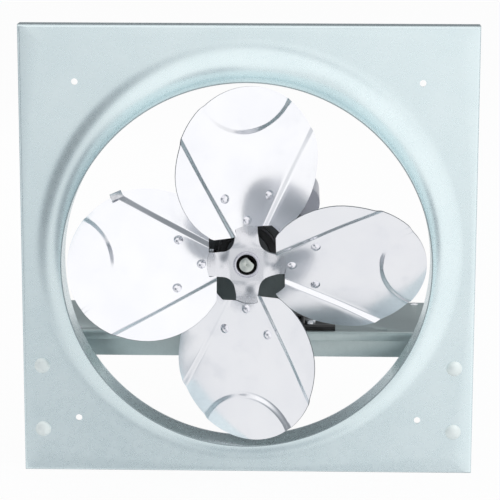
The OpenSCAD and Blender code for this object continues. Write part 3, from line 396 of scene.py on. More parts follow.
new_piece("panel_sheet", panel_mesh, "frame", ["venturi_panel"], galvanised)

# ---- Support legs --------------------------------------------------------------------------------
# Two folded legs of thicker galvanised sheet hold the shelf, one each side behind the panel.
# They keep their solid's shape, with welded corners and slightly broken edges.


def dressed(node, material, body, edge_mm=0.3):
    """The CAD piece's own shape with its corners welded, its edges broken and its rounds smooth."""
    copy = bmesh.new()
    copy.from_mesh(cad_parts[node].data)
    bmesh.ops.remove_doubles(copy, verts=copy.verts, dist=2e-6)
    bmesh.ops.dissolve_limit(copy, angle_limit=math.radians(0.4), verts=copy.verts,
                             edges=copy.edges)
    data = bpy.data.meshes.new(node)
    copy.to_mesh(data)
    copy.free()
    if edge_mm:
        data = shaped(data, ("BEVEL", {
            "width": edge_mm / metre, "segments": 2, "limit_method": "ANGLE",
            "angle_limit": math.radians(40), "harden_normals": True, "use_clamp_overlap": True}))
    new_piece(node + "_piece", data, body, [node], material, sharp=0 if edge_mm else 35)


leg_t = 3
leg_zinc = zinc_sheet("leg_zinc", (0.54, 0.60, 0.63, 1), (0.42, 0.48, 0.51, 1),
                      roughness=0.42, crystal_mm=9)
for side in ("left", "right"):
    dressed("support_leg_" + side, leg_zinc, "frame")

# ---- Carriage bolts ------------------------------------------------------------------------------
# Four round-headed zinc-plated bolts, two on each side, clamp the legs to the back of the sheet.
# Flange nuts hold them behind.


def unit_rings(profile, angles):
    """A ring of points round Z for each radius and height of a profile."""
    return [[(r * math.cos(a), r * math.sin(a), z) for a in angles] for r, z in profile]


def turned(name, profile, count=32):
    """A shape of revolution of unit size for a fastener, with both ends closed."""
    angles = np.linspace(0, 2 * math.pi, count, endpoint=False)
    return woven(name, unit_rings(profile, angles), caps=True, unit=1)


def six_sided(name, hole=0.0):
    """A hexagon head or nut of unit size: flats with soft corners and a chamfered top."""
    corners = [math.radians(60 * c + d) for c in range(6) for d in (-4, 4)]
    profile = [(0.95, 0), (1, 0.05), (1, 0.80), (0.93, 0.93), (0.84, 1)]
    if hole:
        profile = [(hole + 0.05, 0)] + profile + [(hole + 0.05, 1), (hole, 0.93), (hole, 0.07)]
    return woven(name, unit_rings(profile, corners), round_stack=bool(hole), caps=not hole, unit=1)


dome_rim, dome_sweep = 0.08, 1.1
dome_profile = [(0.97, 0), (1, dome_rim)]
for a in np.linspace(1.02, 0.05, 10):
    rise = (math.cos(a) - math.cos(dome_sweep)) / (1 - math.cos(dome_sweep))
    dome_profile.append((math.sin(a) / math.sin(dome_sweep), dome_rim + (1 - dome_rim) * rise))
dome_head = turned("dome_head", dome_profile)
hex_head = six_sided("hex_head")
hex_nut = six_sided("hex_nut", hole=0.55)


def fastener_tree():
    """Sets a head, and a shank and tail where they have a size, at every place, turned its way."""
    tree = bpy.data.node_groups.new("fasteners", "GeometryNodeTree")
    kinds = (("Places", "Geometry"), ("Head", "Object"), ("Head radius", "Float"),
             ("Head height", "Float"), ("Shank radius", "Float"), ("Shank length", "Float"),
             ("Tail height", "Float"), ("Finish", "Material"))
    for label, kind in kinds:
        tree.interface.new_socket(label, in_out="INPUT", socket_type="NodeSocket" + kind)
    tree.interface.new_socket("Fasteners", in_out="OUTPUT", socket_type="NodeSocketGeometry")
    make = Nodes(tree)
    given = tree.nodes.new("NodeGroupInput").outputs
    want = {label: Wire(make, given[label]) for label, _ in kinds}
    head = make.add("GeometryNodeObjectInfo", inputs={"Object": want["Head"]}, output="Geometry")

    def sized(height):
        """The head's shape at its real radius and the height given."""
        scale = make.add("ShaderNodeCombineXYZ", inputs={
            "X": want["Head radius"], "Y": want["Head radius"], "Z": height})
        return make.add("GeometryNodeTransform", inputs={"Geometry": head, "Scale": scale})

    shank = make.add("GeometryNodeMeshCylinder", inputs={
        "Vertices": 24, "Radius": want["Shank radius"], "Depth": want["Shank length"]})
    sunk = make.add("ShaderNodeCombineXYZ", inputs={"Z": -0.5 * want["Shank length"]})
    shank = make.add("GeometryNodeTransform", inputs={"Geometry": shank, "Translation": sunk})
    low = make.add("ShaderNodeCombineXYZ", inputs={"Z": -1.0 * want["Shank length"]})
    tail = make.add("GeometryNodeTransform", inputs={
        "Geometry": sized(want["Tail height"]), "Translation": low, "Rotation": (math.pi, 0, 0)})
    joined = tree.nodes.new("GeometryNodeJoinGeometry")
    for part, size in ((sized(want["Head height"]), "Head height"), (shank, "Shank length"),
                       (tail, "Tail height")):
        there = make.add("FunctionNodeCompare",
                         {"data_type": "FLOAT", "operation": "GREATER_THAN"},
                         {0: want[size], 1: 0.0})
        kept = make.add("GeometryNodeSwitch", {"input_type": "GEOMETRY"},
                        {"Switch": there, "True": part})
        tree.links.new(kept.socket, joined.inputs[0])
    turn = make.add("GeometryNodeInputNamedAttribute", {"data_type": "FLOAT_VECTOR"},
                    {"Name": "turn"})
    turn = make.add("FunctionNodeEulerToRotation", inputs={"Euler": turn})
    spread = make.add("GeometryNodeInstanceOnPoints", inputs={
        "Points": want["Places"], "Instance": Wire(make, joined.outputs[0]), "Rotation": turn})
    solid = make.add("GeometryNodeRealizeInstances", inputs={"Geometry": spread})
    done = make.add("GeometryNodeSetMaterial",
                    inputs={"Geometry": solid, "Material": want["Finish"]})
    tree.links.new(done.socket, tree.nodes.new("NodeGroupOutput").inputs[0])
    return tree


fasteners = fastener_tree()


def fasten(node, body, slot, material, head, places, **sizes_mm):
    """Makes every copy of one fastener: a place is a point on its seat and the way it faces."""
    data = bpy.data.meshes.new(node)
    data.from_pydata([Vector(p) / metre for p, _ in places], [], [])
    turns = data.attributes.new("turn", "FLOAT_VECTOR", "POINT")
    for row, (_, facing) in zip(turns.data, places):
        row.vector = Vector(facing).to_track_quat("Z", "Y").to_euler()
    shape = bpy.data.objects.new("shape", head)
    scene.collection.objects.link(shape)
    holder = bpy.data.objects.new("places", data)
    modifier = holder.modifiers.new("fasteners", "NODES")
    modifier.node_group = fasteners
    given = {"Head": shape, "Finish": material}
    given.update({name.replace("_", " "): mm / metre for name, mm in sizes_mm.items()})
    for socket in fasteners.interface.items_tree:
        if socket.in_out == "INPUT" and socket.name != "Places":
            modifier[socket.identifier] = given.get(socket.name, 0.0)
    mesh = finished(holder)
    bpy.data.objects.remove(shape)
    new_piece(node + "_set", mesh, body, [node])


def plated_steel(name, pale, deep, roughness, metallic=1.0):
    """Bright plated or machined steel with faint handling marks."""
    steel = Finish(name, Metallic=metallic)
    patch, scuff = steel.spots(size_mm=7), steel.spots(size_mm=0.8, detail=3)
    return steel.paint(steel.blend(deep, pale, steel.step(patch, 0.3, 0.7)),
                       roughness - 0.07 + 0.14 * scuff, height=scuff, depth_mm=0.01)


zinc_plate = plated_steel("zinc_plate", (0.78, 0.80, 0.82, 1), (0.62, 0.64, 0.67, 1),
                          roughness=0.26)
dull_zinc = zinc_sheet("dull_zinc", (0.90, 0.96, 0.95, 1), (0.83, 0.90, 0.89, 1),
                       roughness=0.45, crystal_mm=5, metallic=0.4)


def bolt_up(node, head, places, **sizes_mm):
    """Fastens zinc-plated hardware of one kind on the frame."""
    fasten(node, "frame", "zinc_fasteners", zinc_plate, head, places, **sizes_mm)


front, behind, left, up, down = (0, -1, 0), (0, 1, 0), (-1, 0, 0), (0, 0, 1), (0, 0, -1)
leg_bolts = [(x, z) for x in (-279, 279) for z in (-157.5, -246.4)]
fasten("carriage_bolts", "frame", "zinc_fasteners", dull_zinc, dome_head,
       [((x, 0, z), front) for x, z in leg_bolts],
       Head_radius=10.7, Head_height=4.4, Shank_radius=4.75, Shank_length=25.4)
bolt_up("carriage_nuts", hex_nut, [((x, panel_t + leg_t, z), behind) for x, z in leg_bolts],
        Head_radius=8.36, Head_height=8.36)

# ---- Motor platform and rails --------------------------------------------------------------------
# A shelf of the same galvanised sheet with turned-down hems, stiffened by an angle along its front
# and one along its rear, both riveted to it. Bolts join it to the legs.

# The shelf and rails are painted darker than the panel's zinc: painted shade for their place inside
# the throat, behind the blades.
shaded_platform_zinc = zinc_sheet("shaded_platform_zinc", (0.53, 0.61, 0.61, 1), (0.46, 0.54, 0.54, 1),
                           roughness=0.34, crystal_mm=7, metallic=0.55)
for piece_name in ("motor_platform", "cross_rail_front", "cross_rail_rear"):
    dressed(piece_name, shaded_platform_zinc, "frame")
shelf_z, shelf_t = -112, 2.5
rail_rivets = [(-233, 33), (233, 33), (-233, 186), (-60, 186), (60, 186), (233, 186)]
bolt_up("rail_rivets", dome_head, [((x, y, shelf_z), up) for x, y in rail_rivets],
        Head_radius=5.6, Head_height=2.6, Shank_radius=3.175, Shank_length=2 * shelf_t,
        Tail_height=2.2)
shelf_bolts = [(x, y) for x in (-277, 277) for y in (50, 171)]
hex_bolt = {"Head_radius": 7.268, "Head_height": 5.135, "Shank_radius": 3.95}
bolt_nut = {"Head_radius": 7.268, "Head_height": 6.32}
bolt_up("platform_bolts", hex_head, [((x, y, shelf_z), up) for x, y in shelf_bolts],
        Shank_length=14.82, **hex_bolt)
bolt_up("platform_nuts", hex_nut,
        [((x, y, shelf_z - shelf_t - leg_t), down) for x, y in shelf_bolts], **bolt_nut)

# ---- Riser and its pad ---------------------------------------------------------------------------
# The motor's base lifts it to the fan axis: a black enamelled steel channel on a rubber pad, with
# two bright hexagon bolts through each foot.


def enamel(name, pale, deep, roughness, coat=0.15):
    """Sprayed enamel: an even colour, slight orange peel and faint dust."""
    spray = Finish(name, Coat_Roughness=0.2)
    peel, dust = spray.spots(size_mm=1.6, detail=2), spray.spots(size_mm=40, detail=3)
    return spray.paint(spray.blend(deep, pale, spray.step(dust, 0.35, 0.8)),
                       roughness - 0.05 + 0.12 * peel, height=peel, depth_mm=0.03,
                       Coat_Weight=coat + 0.1 * dust)


def rubber(name, colour, roughness=0.75):
    """Moulded rubber with a dull grain."""
    cast = Finish(name)
    grain = cast.spots(size_mm=1.2, detail=4)
    dusty = tuple(1.7 * c + 0.008 for c in colour[:3]) + (1,)
    return cast.paint(cast.blend(colour, dusty, cast.step(cast.spots(size_mm=25), 0.4, 0.8)),
                      roughness - 0.1 + 0.2 * grain, height=grain, depth_mm=0.05)


black_enamel = enamel("black_enamel", (0.022, 0.022, 0.024, 1), (0.012, 0.012, 0.013, 1),
                      roughness=0.34)
black_rubber = rubber("black_rubber", (0.012, 0.012, 0.012, 1))
dressed("riser_pad", black_rubber, "frame", edge_mm=0.5)
dressed("motor_riser", black_enamel, "frame", edge_mm=0.5)
riser_foot_z, riser_top, riser_t = -104, -88.9, 3
# The front bolts go through the front rail too, so their nuts sit one sheet lower.
riser_bolts = [(x, y, nut_z) for x in (-84, 84)
               for y, nut_z in ((34, shelf_z - 2 * shelf_t), (140, shelf_z - shelf_t))]
bolt_up("riser_bolts", hex_head, [((x, y, riser_foot_z), up) for x, y, _ in riser_bolts],
        Shank_length=22.32, **hex_bolt)
bolt_up("riser_nuts", hex_nut, [((x, y, nut_z), down) for x, y, nut_z in riser_bolts], **bolt_nut)

# ---- Motor cradle --------------------------------------------------------------------------------
# A pressed steel cradle with a split collar at each end holds the motor by rubber rings round its
# bearing noses. Screws pull each collar together and four bolts hold the cradle down.

cradle_t = 3
grey_enamel = enamel("grey_enamel", (0.115, 0.140, 0.138, 1), (0.095, 0.118, 0.116, 1),
                     roughness=0.42)
dressed("motor_cradle", grey_enamel, "frame", edge_mm=0.4)
dressed("cradle_clamps", black_enamel, "frame", edge_mm=0.4)
dressed("cushion_rings", black_rubber, "frame", edge_mm=0.8)
cradle_bolts = [(x, y) for x in (-62, 62) for y in (49.4, 125.6)]
bolt_up("cradle_bolts", hex_head, [((x, y, riser_top + cradle_t), up) for x, y in cradle_bolts],
        Shank_length=13.32, **hex_bolt)
bolt_up("cradle_nuts", hex_nut, [((x, y, riser_top - riser_t), down) for x, y in cradle_bolts],
        **bolt_nut)
screw_r = 2.4
screw_head = {"Head_radius": 4.32, "Head_height": 3.36}
bolt_up("clamp_screws", hex_head, [((x, y, cradle_t), up) for x in (-48, 48) for y in (-1, 193.2)],
        Shank_radius=screw_r, Shank_length=9, **screw_head)

# ---- Motor casing --------------------------------------------------------------------------------
# A rolled steel shell between two cast end shields, all enamelled dark grey, drawn together by four
# long through bolts.

motor_enamel = enamel("motor_enamel", (0.048, 0.054, 0.056, 1), (0.030, 0.034, 0.036, 1),
                      roughness=0.38)
dressed("motor_shell", motor_enamel, "frame")
for end in ("front", "rear"):
    dressed(end + "_end_shield", motor_enamel, "frame", edge_mm=0.4)
through_bolt_ring, front_seat_y, rear_seat_y = 75, 12, 182
through_bolts = [(through_bolt_ring * math.sin(a), through_bolt_ring * math.cos(a))
                 for a in map(math.radians, (49, 139, 229, 319))]
bolt_up("through_bolts", hex_head, [((x, front_seat_y, z), front) for x, z in through_bolts],
        Shank_radius=screw_r, Shank_length=175.36, **screw_head)
bolt_up("through_bolt_nuts", hex_nut, [((x, rear_seat_y, z), behind) for x, z in through_bolts],
        **screw_head)

# ---- Stator, bearings and start switch -----------------------------------------------------------
# Inside the shell: the laminated stator with its varnished copper, the ball bearings with a spring
# washer behind, and the centrifugal switch. All of it keeps its solid's shape.

laminations = Finish("laminations", Metallic=1.0)
plates = laminations.add("ShaderNodeTexWave", {"bands_direction": "Y"},
                         {"Vector": laminations.place, "Scale": 320.0, "Distortion": 0.4})
stack_steel = laminations.paint(
    laminations.blend((0.10, 0.10, 0.11, 1), (0.20, 0.20, 0.22, 1), plates),
    0.42 + 0.14 * laminations.spots(size_mm=3), height=plates, depth_mm=0.08)
varnish = Finish("varnished_copper", Metallic=0.75, Coat_Roughness=0.25)
turns_of_wire = varnish.add(
    "ShaderNodeTexWave", {"bands_direction": "DIAGONAL"},
    {"Vector": varnish.place, "Scale": 260.0, "Distortion": 3.0, "Detail": 2.0})
varnished_copper = varnish.paint(
    varnish.blend((0.24, 0.07, 0.02, 1), (0.52, 0.20, 0.08, 1), turns_of_wire),
    0.30 + 0.12 * varnish.spots(size_mm=5), height=turns_of_wire, depth_mm=0.2,
    Coat_Weight=0.3 + 0.2 * turns_of_wire)
ground_steel = plated_steel("ground_steel", (0.60, 0.61, 0.63, 1), (0.50, 0.51, 0.53, 1),
                            roughness=0.20)
board = Finish("pressed_board")
fibres = board.spots(size_mm=1.5, detail=5, stretch=(1, 3, 1))
brown_board = board.paint(board.blend((0.10, 0.045, 0.02, 1), (0.20, 0.10, 0.05, 1), fibres),
                          0.5 + 0.15 * fibres, height=fibres, depth_mm=0.06)
dressed("stator_core", stack_steel, "frame", edge_mm=0)
dressed("stator_windings", varnished_copper, "frame", edge_mm=0)
for piece_name in ("bearing_outer_races", "wave_washer"):
    dressed(piece_name, ground_steel, "frame", edge_mm=0)
dressed("start_switch", brown_board, "frame", edge_mm=0)

# ---- Capacitor -----------------------------------------------------------------------------------
# A start capacitor rides on the shell at the upper right, under an enamelled cover that four
# round-headed screws hold by its ears. The cover's pale grey is painted highlight, standing for the
# sheen of light on its upper right side.

cover_highlight_enamel = enamel("cover_highlight_enamel", (0.60, 0.60, 0.66, 1), (0.52, 0.52, 0.58, 1), roughness=0.30)
can_plastic = enamel("can_plastic", (0.030, 0.030, 0.033, 1), (0.018, 0.018, 0.020, 1),
                     roughness=0.42, coat=0.0)
dressed("capacitor", can_plastic, "frame")
dressed("capacitor_cover", cover_highlight_enamel, "frame")
shell_r, cover_angle, cover_half, ear_reach, ear_t = 82.5, 50, 24.5, 3.6, 2
ear_angle = math.degrees(math.asin((cover_half + ear_reach) / shell_r))
ears = [Vector((math.sin(a), 0, math.cos(a)))
        for a in (math.radians(cover_angle + s * ear_angle) for s in (-1, 1))]
bolt_up("capacitor_cover_screws", dome_head,
        [(ear * (shell_r + ear_t) + Vector((0, y, 0)), ear) for ear in ears for y in (64, 146)],
        Head_radius=4, Head_height=2, Shank_radius=screw_r, Shank_length=2)

# ---- Terminal box --------------------------------------------------------------------------------
# A black box on the motor's left side takes the conduit: its cover is held by two screws, and a
# terminal board and a green ground screw sit inside.

for piece_name in ("terminal_box", "terminal_box_cover"):
    dressed(piece_name, black_enamel, "frame")
dressed("terminal_board", brown_board, "frame", edge_mm=0.2)
cover_x, cover_screw_y = -120, 72.5
bolt_up("terminal_box_screws", dome_head,
        [((cover_x, cover_screw_y, z), left) for z in (-23.5, 23.5)],
        Head_radius=4.4, Head_height=2.2, Shank_radius=screw_r, Shank_length=8.5)
green_lacquer = plated_steel("green_lacquer", (0.10, 0.34, 0.12, 1), (0.05, 0.22, 0.07, 1),
                             roughness=0.34, metallic=0.6)
ground_screw_place = (-100.5, 103, -28.5)
fasten("ground_screw", "frame", "green_screw", green_lacquer, hex_head,
       [(ground_screw_place, up)], **screw_head)

# ---- Shaft and rotor -----------------------------------------------------------------------------
# The ground steel shaft carries the rotor between the bearings and sticks out in front, with a flat
# for the hub's screw. The cage with its cooling vanes is cast aluminium.

cast = Finish("cast_aluminium", Metallic=1.0)
pores = cast.spots(size_mm=1.8, detail=4)
cast_aluminium = cast.paint(cast.blend((0.50, 0.51, 0.52, 1), (0.66, 0.67, 0.68, 1), pores),
                            0.36 + 0.16 * pores, height=pores, depth_mm=0.08)
shaft_steel = plated_steel("shaft_steel", (0.62, 0.65, 0.62, 1), (0.52, 0.56, 0.53, 1),
                           roughness=0.30)
dressed("shaft", shaft_steel, "propeller", edge_mm=0.4)
dressed("rotor_core", stack_steel, "propeller", edge_mm=0)
dressed("rotor_cage", cast_aluminium, "propeller", edge_mm=0)
for piece_name in ("bearing_inner_races", "bearing_balls", "bearing_cages"):
    dressed(piece_name, ground_steel, "propeller", edge_mm=0)
dressed("switch_actuator", brown_board, "propeller", edge_mm=0)
dressed("slinger", black_rubber, "propeller", edge_mm=0)

# ---- Hub -----------------------------------------------------------------------------------------
# The steel hub is turned, then swaged over the spider's middle: a ring of it stands in front.
# Two black socket screws hold it on the shaft.

hub_metal = Finish("hub_steel", Metallic=1.0)
hub_patch, hub_scuff = hub_metal.spots(size_mm=7), hub_metal.spots(size_mm=0.8, detail=3)
hub_x, hub_y, hub_z = (hub_metal.add("ShaderNodeSeparateXYZ", inputs={"Vector": hub_metal.place},
                                     output=axis) for axis in "XYZ")
hub_radius = hub_x.math("SQRT", hub_x * hub_x + hub_z * hub_z)
# The recess between the ring and the shaft is painted near black as painted shade, where little
# light gets in: its edge, mouth and floor, in metres.
recess_edge, recess_mouth, recess_floor = (0.0131, 0.0135), (-0.0738, -0.0730), (-0.066, -0.060)
painted_recess_shade = ((1.0 - hub_metal.step(hub_radius, *recess_edge)) * hub_metal.step(hub_y, *recess_mouth)
          * (1.0 - hub_metal.step(hub_y, *recess_floor)))
hub_bright = hub_metal.blend((0.56, 0.56, 0.62, 1), (0.68, 0.68, 0.74, 1), hub_patch)
# The painted shade darkens the hub's colour in the recess and dulls it.
hub_steel = hub_metal.paint(hub_metal.blend(hub_bright, (0.012, 0.012, 0.012, 1), painted_recess_shade),
                            0.20 + 0.14 * hub_scuff + 0.3 * painted_recess_shade,
                            height=hub_scuff, depth_mm=0.01)
# The turned profile as radii and places along the shaft: body, spider's seat, ring and recess.
hub_profile = [(9.6, -38.5), (10.1, -38), (18.3, -38), (18.8, -38.2), (19, -38.7), (19, -68.3),
               (18.8, -68.8), (18.3, -69), (15.4, -69), (15.4, -72), (17.1, -72), (17.4, -72.2),
               (17.5, -72.7), (17.3, -73.5), (16.7, -74.05), (15.9, -74.2), (14.6, -74.2),
               (13.8, -74.0), (13.4, -73.5), (13.3, -72.9), (13.3, -70), (12.9, -69.6),
               (12.4, -69.5), (10.1, -69.5), (9.6, -69.0)]
hub_turn = np.linspace(0, 2 * math.pi, 96, endpoint=False)
hub_rows = [[(r * math.cos(a), y, r * math.sin(a)) for a in hub_turn] for r, y in hub_profile]
screw_out, screw_y, screw_hole_r, screw_hole_length = 14.5, -51.95, 3.2, 13
screw_pins = [((screw_out * math.sin(a), screw_y, screw_out * math.cos(a)),
               (math.sin(a), 0, math.cos(a)), screw_hole_r, screw_hole_length)
              for a in map(math.radians, (45, 135))]
hub_mesh = drilled(woven("hub_turning", hub_rows, round_stack=True), *screw_pins)
new_piece("hub_turning", hub_mesh, "propeller", ["hub"], hub_steel)
black_oxide = plated_steel("black_oxide", (0.05, 0.05, 0.055, 1), (0.025, 0.025, 0.028, 1),
                           roughness=0.36, metallic=0.7)
dressed("set_screws", black_oxide, "propeller", edge_mm=0)

# ---- Spider --------------------------------------------------------------------------------------
# A four-armed stamping of bright steel, 3 mm thick: flat round the hub, each arm twisted to the
# blades' pitch and widened into a paddle that the blade is riveted to.

blade_pitch = math.radians(30)
spider_y, spider_t, hub_hole = -72, 3, 15.4
arm_half, arm_fillet, paddle_half, paddle_end_half = 16.5, 16, 42, 26
corner = arm_half + arm_fillet * (1 - math.sqrt(0.5))
neck_r, twist_end, arm_root, flare_r, paddle_r = arm_half + arm_fillet, 44, 52, 86, 106


def ease(t):
    """A soft step: 0 up to 0, 1 from 1 on."""
    t = np.clip(t, 0, 1)
    return t * t * (3 - 2 * t)


def arm_width(r):
    """Half the arm's width at a distance from the shaft: fillet, neck, flare and rounded paddle."""
    if r <= corner:
        return corner
    if r < neck_r:
        return neck_r - math.sqrt(arm_fillet ** 2 - (neck_r - r) ** 2)
    if r < arm_root:
        return arm_half
    if r < flare_r:
        return arm_half + (paddle_half - arm_half) * (r - arm_root) / (flare_r - arm_root)
    rounding = ((r - flare_r) / (paddle_r - flare_r)) ** 2
    return paddle_half - (paddle_half - paddle_end_half) * rounding


def quarter_turns(points, k):
    """Points of the upward arm or blade, turned to the k-th place round the shaft."""
    x, y, z = np.moveaxis(np.asarray(points, float), -1, 0)
    for _ in range(k):
        x, z = z, -x
    return np.stack([x, y + spider_y, z], axis=-1)


def facing_front(mesh):
    """Turns an open sheet's faces to the viewer's side, before it gets its thickness."""
    shape = bmesh.new()
    shape.from_mesh(mesh)
    bmesh.ops.remove_doubles(shape, verts=shape.verts, dist=1e-6)
    bmesh.ops.recalc_face_normals(shape, faces=shape.faces)
    if sum(f.normal.y * f.calc_area() for f in shape.faces) > 0:
        bmesh.ops.reverse_faces(shape, faces=shape.faces)
    shape.to_mesh(mesh)
    shape.free()
    return mesh


def thickened(mesh, thickness, edge_mm):
    """The open sheet with its thickness. Its faces say which side they are on.

    The attribute side is 0 on the front, 1 on the cut edge and 2 on the back."""
    for _ in range(3):
        mesh.materials.append(None)
    sheet = shaped(facing_front(mesh),
                   ("SOLIDIFY", {"thickness": thickness / metre, "offset": -1.0,
                                 "use_even_offset": True, "material_offset": 2,
                                 "material_offset_rim": 1}),
                   ("BEVEL", {"width": edge_mm / metre, "segments": 2, "limit_method": "ANGLE",
                              "angle_limit": math.radians(60), "harden_normals": True}))
    sides = sheet.attributes.new("side", "FLOAT", "FACE")
    for face, row in zip(sheet.polygons, sides.data):
        row.value = face.material_index
    return sheet


arm_stations = np.concatenate([
    corner + (neck_r - corner) * np.linspace(0, 1, 13) ** 1.5,
    np.linspace(neck_r, arm_root, 14)[1:], np.linspace(arm_root, flare_r, 10)[1:],
    np.linspace(flare_r, paddle_r, 9)[1:]])
spread_across = np.linspace(-1, 1, 17)
spider_mesh = bmesh.new()
for k in range(4):
    arm = []
    for r in arm_stations:
        twist = blade_pitch * float(ease((r - corner) / (twist_end - corner)))
        arm.append([(q * math.cos(twist), q * math.sin(twist), r)
                    for q in arm_width(r) * spread_across])
    middle = []
    for t in np.linspace(0, 1, 5):
        middle.append([((1 - t) * hub_hole * math.sin(a) + t * corner * q, 0,
                        (1 - t) * hub_hole * math.cos(a) + t * corner)
                       for q, a in zip(spread_across, spread_across * math.pi / 4)])
    for rows in (arm, middle):
        spider_mesh.from_mesh(woven("spider_part", quarter_turns(rows, k), round_rows=False))
spider_front = bpy.data.meshes.new("spider_plate")
spider_mesh.to_mesh(spider_front)
spider_mesh.free()


def rolled_sheet(name, pale, deep, roughness):
    """Bright cold-rolled sheet: fine rolling lines, soft clouds and marks, duller behind."""
    sheet = Finish(name, Metallic=1.0)
    clouds = sheet.spots(size_mm=60, detail=3)
    rolling = sheet.spots(size_mm=3, detail=3, stretch=(1, 1, 0.12))
    smear = sheet.step(sheet.spots(size_mm=22, detail=4), 0.52, 0.8)
    side = sheet.add("ShaderNodeAttribute", {"attribute_name": "side"}, output="Fac")
    rear = sheet.step(side, 1.4, 1.6)
    cut = sheet.step(side, 0.4, 0.6) * (1.0 - rear)
    colour = sheet.blend(pale, deep, 0.6 * sheet.step(clouds, 0.3, 0.8) + 0.25 * smear)
    colour = sheet.blend(colour, (0.20, 0.22, 0.24, 1), cut)
    dulled = roughness - 0.04 + 0.05 * rolling + 0.06 * smear + 0.30 * rear + 0.15 * cut
    return sheet.paint(colour, dulled, height=rolling, depth_mm=0.008)


propeller_sheet = rolled_sheet("propeller_sheet", (0.93, 0.935, 0.965, 1), (0.86, 0.87, 0.92, 1),
                               roughness=0.17)
spider_sheet = rolled_sheet("spider_sheet", (0.78, 0.785, 0.82, 1), (0.68, 0.69, 0.73, 1),
                            roughness=0.28)
new_piece("spider_plate", thickened(spider_front, spider_t, edge_mm=0.5), "propeller", ["spider"],
          spider_sheet, sharp=0)

# ---- Blades --------------------------------------------------------------------------------------
# Four round blades of the same bright sheet, 1.6 mm thick. Each is rolled to a slight hollow and
# pressed with a sunk middle: a rounded step along both sides and a curved one near the tip.

blade_t, tip_r, camber_r, camber_run = 1.6, 235, 1300, 60
round_r, round_in, arc_r, arc_out = 104.7, 104.8, 73.5, 14.3
round_c, arc_c = tip_r - round_in, tip_r + arc_out
blade_skew = math.radians(0.9)
root_r, root_near, root_far, root_out = 52, 39, 49.5, 60.5
lap_from, lap_over = 18, 8  # The degrees over which the near side's root leaves the arm.
step_h, step_w, step_angle, step_in, step_round = 3.4, 6.5, 29.4, 0.9, 0.24
bend_rows, inner_rows, rim_rows = (-1.6, -0.9, -0.3, 0.3, 0.9, 1.6), 36, 6
arc_to_rim, arc_least, rim_flat = 8, 4, 2
# The outermost column lies just inside the line that touches the round edge.
edge_angle = math.degrees(math.asin(round_r / round_c)) - 0.3


def reach(angle, offset, centre, radius, side):
    """Distance along a slanted column to a circle round a point on the blade's middle line."""
    q = radius ** 2 - (offset + centre * math.sin(angle)) ** 2
    return centre * math.cos(angle) + side * math.sqrt(q) if q > 0 else None


def blade_column(degrees, offset):
    """Points of one column from the root to the far edge, closer where the sheet bends."""
    angle = math.radians(degrees)
    over_arm = math.sqrt(root_r ** 2 - offset ** 2)
    root_line = root_near if degrees < 0 else root_far
    straight = (root_line + offset * math.sin(angle)) / math.cos(angle)
    if degrees < 0:
        root = over_arm + (straight - over_arm) * float(ease((-degrees - lap_from) / lap_over))
    else:
        root = max(over_arm, min(straight, root_out))
    start = max(reach(angle, offset, round_c, round_r, -1), root)
    end = min(reach(angle, offset, round_c, round_r, 1),
              tip_r / math.hypot(math.cos(angle), math.sin(angle) * math.cos(blade_pitch)))
    bend_in = min(reach(angle, offset, arc_c, arc_r + step_w / 2, -1) or end,
                  end - arc_to_rim)
    bend_out = reach(angle, offset, arc_c, arc_r - step_w / 2, -1) or end
    bend_out = min(max(bend_out, bend_in + arc_least), end - rim_flat)
    bend = [bend_in + d for d in bend_rows] + [(bend_in + bend_out) / 2]
    bend += [bend_out + d for d in bend_rows]
    rows = np.sort(np.concatenate([np.linspace(start, bend[0], inner_rows)[:-1], bend,
                                   np.linspace(bend[-1], end, rim_rows)[1:]]))
    rows = np.clip(rows, start, end)
    return np.stack([rows * math.cos(angle) - offset * math.sin(angle),
                     rows * math.sin(angle) + offset * math.cos(angle)], axis=1)


def step_rise(x):
    """A straight slope from 0 to 1 with both its bends rounded."""
    b = step_round
    low = np.clip(x + b, 0, 2 * b) ** 2 / (4 * b)
    high = np.clip(1 + b - x, 0, 2 * b) ** 2 / (4 * b)
    return low + (np.clip(x, b, 1 - b) - b) + (b - high)


def blade_height(u, v):
    """How far the sheet stands off its plane at u along the blade and v across it."""
    slant = math.radians(step_angle)
    past = np.maximum(np.abs(v) * math.cos(slant) - u * math.sin(slant) + step_in,
                      arc_r - np.hypot(u - arc_c, v))
    camber = ease((u - paddle_r) / camber_run) * v ** 2 / (2 * camber_r)
    return camber + step_h * step_rise(past / step_w + 0.5)


# Each column: its angle from the middle line in degrees, and how far it lies to the side.
step_cluster = (-4.5, -4, -3.5, -3, -2.4, -1.6, 0, 1.6, 2.4, 3, 3.5, 4, 4.5)
half_columns = [(a, 0) for a in (1.2, 2.4, 3.6, 4.8, 6, 7.2, 8.4, 9.6, 10.8, 12, 13, 14, 15, 15.8,
                                 16.4, 17, 17.6, 18.2, 19, 20)]
half_columns += [(22.5, -1.3), (25, -2.6), (27.2, -4)]
half_columns += [(step_angle, o - step_in) for o in step_cluster]
half_columns += [(32.5, 3), (35, 1.5)]
half_columns += [(a, 0) for a in (37.5, 39.5, 41.5, 43.5, 45.5, 47.5, 49.3, 50.8, 52.1, edge_angle)]
blade_columns = [(-a, -o) for a, o in reversed(half_columns)] + [(0, 0)] + half_columns
flat_blade = np.array([blade_column(a, o) for a, o in blade_columns])
u, v = flat_blade[..., 0], flat_blade[..., 1]
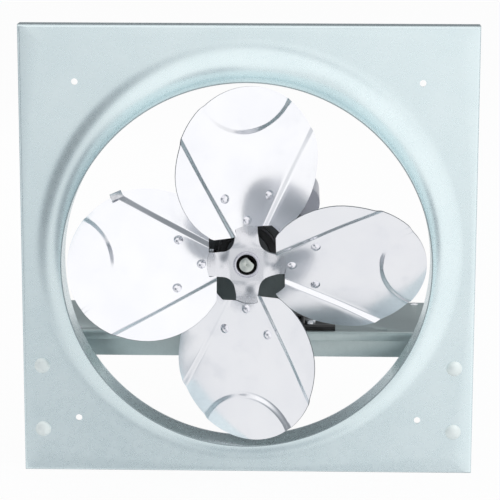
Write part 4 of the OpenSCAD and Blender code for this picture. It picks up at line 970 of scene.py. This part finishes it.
h = blade_height(u, v) + blade_t
u, v = (u * math.cos(blade_skew) + v * math.sin(blade_skew),
        v * math.cos(blade_skew) - u * math.sin(blade_skew))
tilted = np.stack([v * math.cos(blade_pitch) + h * math.sin(blade_pitch),
                   v * math.sin(blade_pitch) - h * math.cos(blade_pitch), u], axis=-1)
for k, side in enumerate(("top", "right", "bottom", "left")):
    sheet = woven("blade_sheet", quarter_turns(tilted, k), round_rows=False)
    new_piece("blade_" + side + "_sheet", thickened(sheet, blade_t, edge_mm=0.3), "propeller",
              ["blade_" + side], propeller_sheet, sharp=0)

# ---- Blade rivets --------------------------------------------------------------------------------
# Three domed steel rivets hold each blade to its paddle: one near the root and one at each side.

rivet_places = [(59, 0), (90, 33), (90, -33)]
pitched = [(q * math.cos(blade_pitch) + blade_t * math.sin(blade_pitch),
            q * math.sin(blade_pitch) - blade_t * math.cos(blade_pitch), r)
           for r, q in rivet_places]
outward = (math.sin(blade_pitch), -math.cos(blade_pitch), 0)
rivets = []
for k in range(4):
    facing = quarter_turns([outward], k)[0] - quarter_turns([(0, 0, 0)], k)[0]
    rivets += [(place, facing) for place in quarter_turns(pitched, k)]
rivet_steel = plated_steel("rivet_steel", (0.88, 0.88, 0.92, 1), (0.76, 0.76, 0.82, 1),
                           roughness=0.16)
fasten("blade_rivets", "propeller", "propeller_sheet", rivet_steel, dome_head, rivets,
       Head_radius=6.2, Head_height=3.6, Shank_radius=3.17, Shank_length=blade_t + spider_t,
       Tail_height=2.2)

# ---- Balance clip --------------------------------------------------------------------------------
# A small spring-steel clip is pushed over the left blade's edge to balance the propeller.
# It keeps its solid's shape, with slightly broken edges.

clip_steel = plated_steel("clip_steel", (0.70, 0.71, 0.74, 1), (0.56, 0.57, 0.60, 1),
                          roughness=0.24)
dressed("balance_clip", clip_steel, "propeller", edge_mm=0.25)

# ---- Update --------------------------------------------------------------------------------------


bpy.context.view_layer.update()
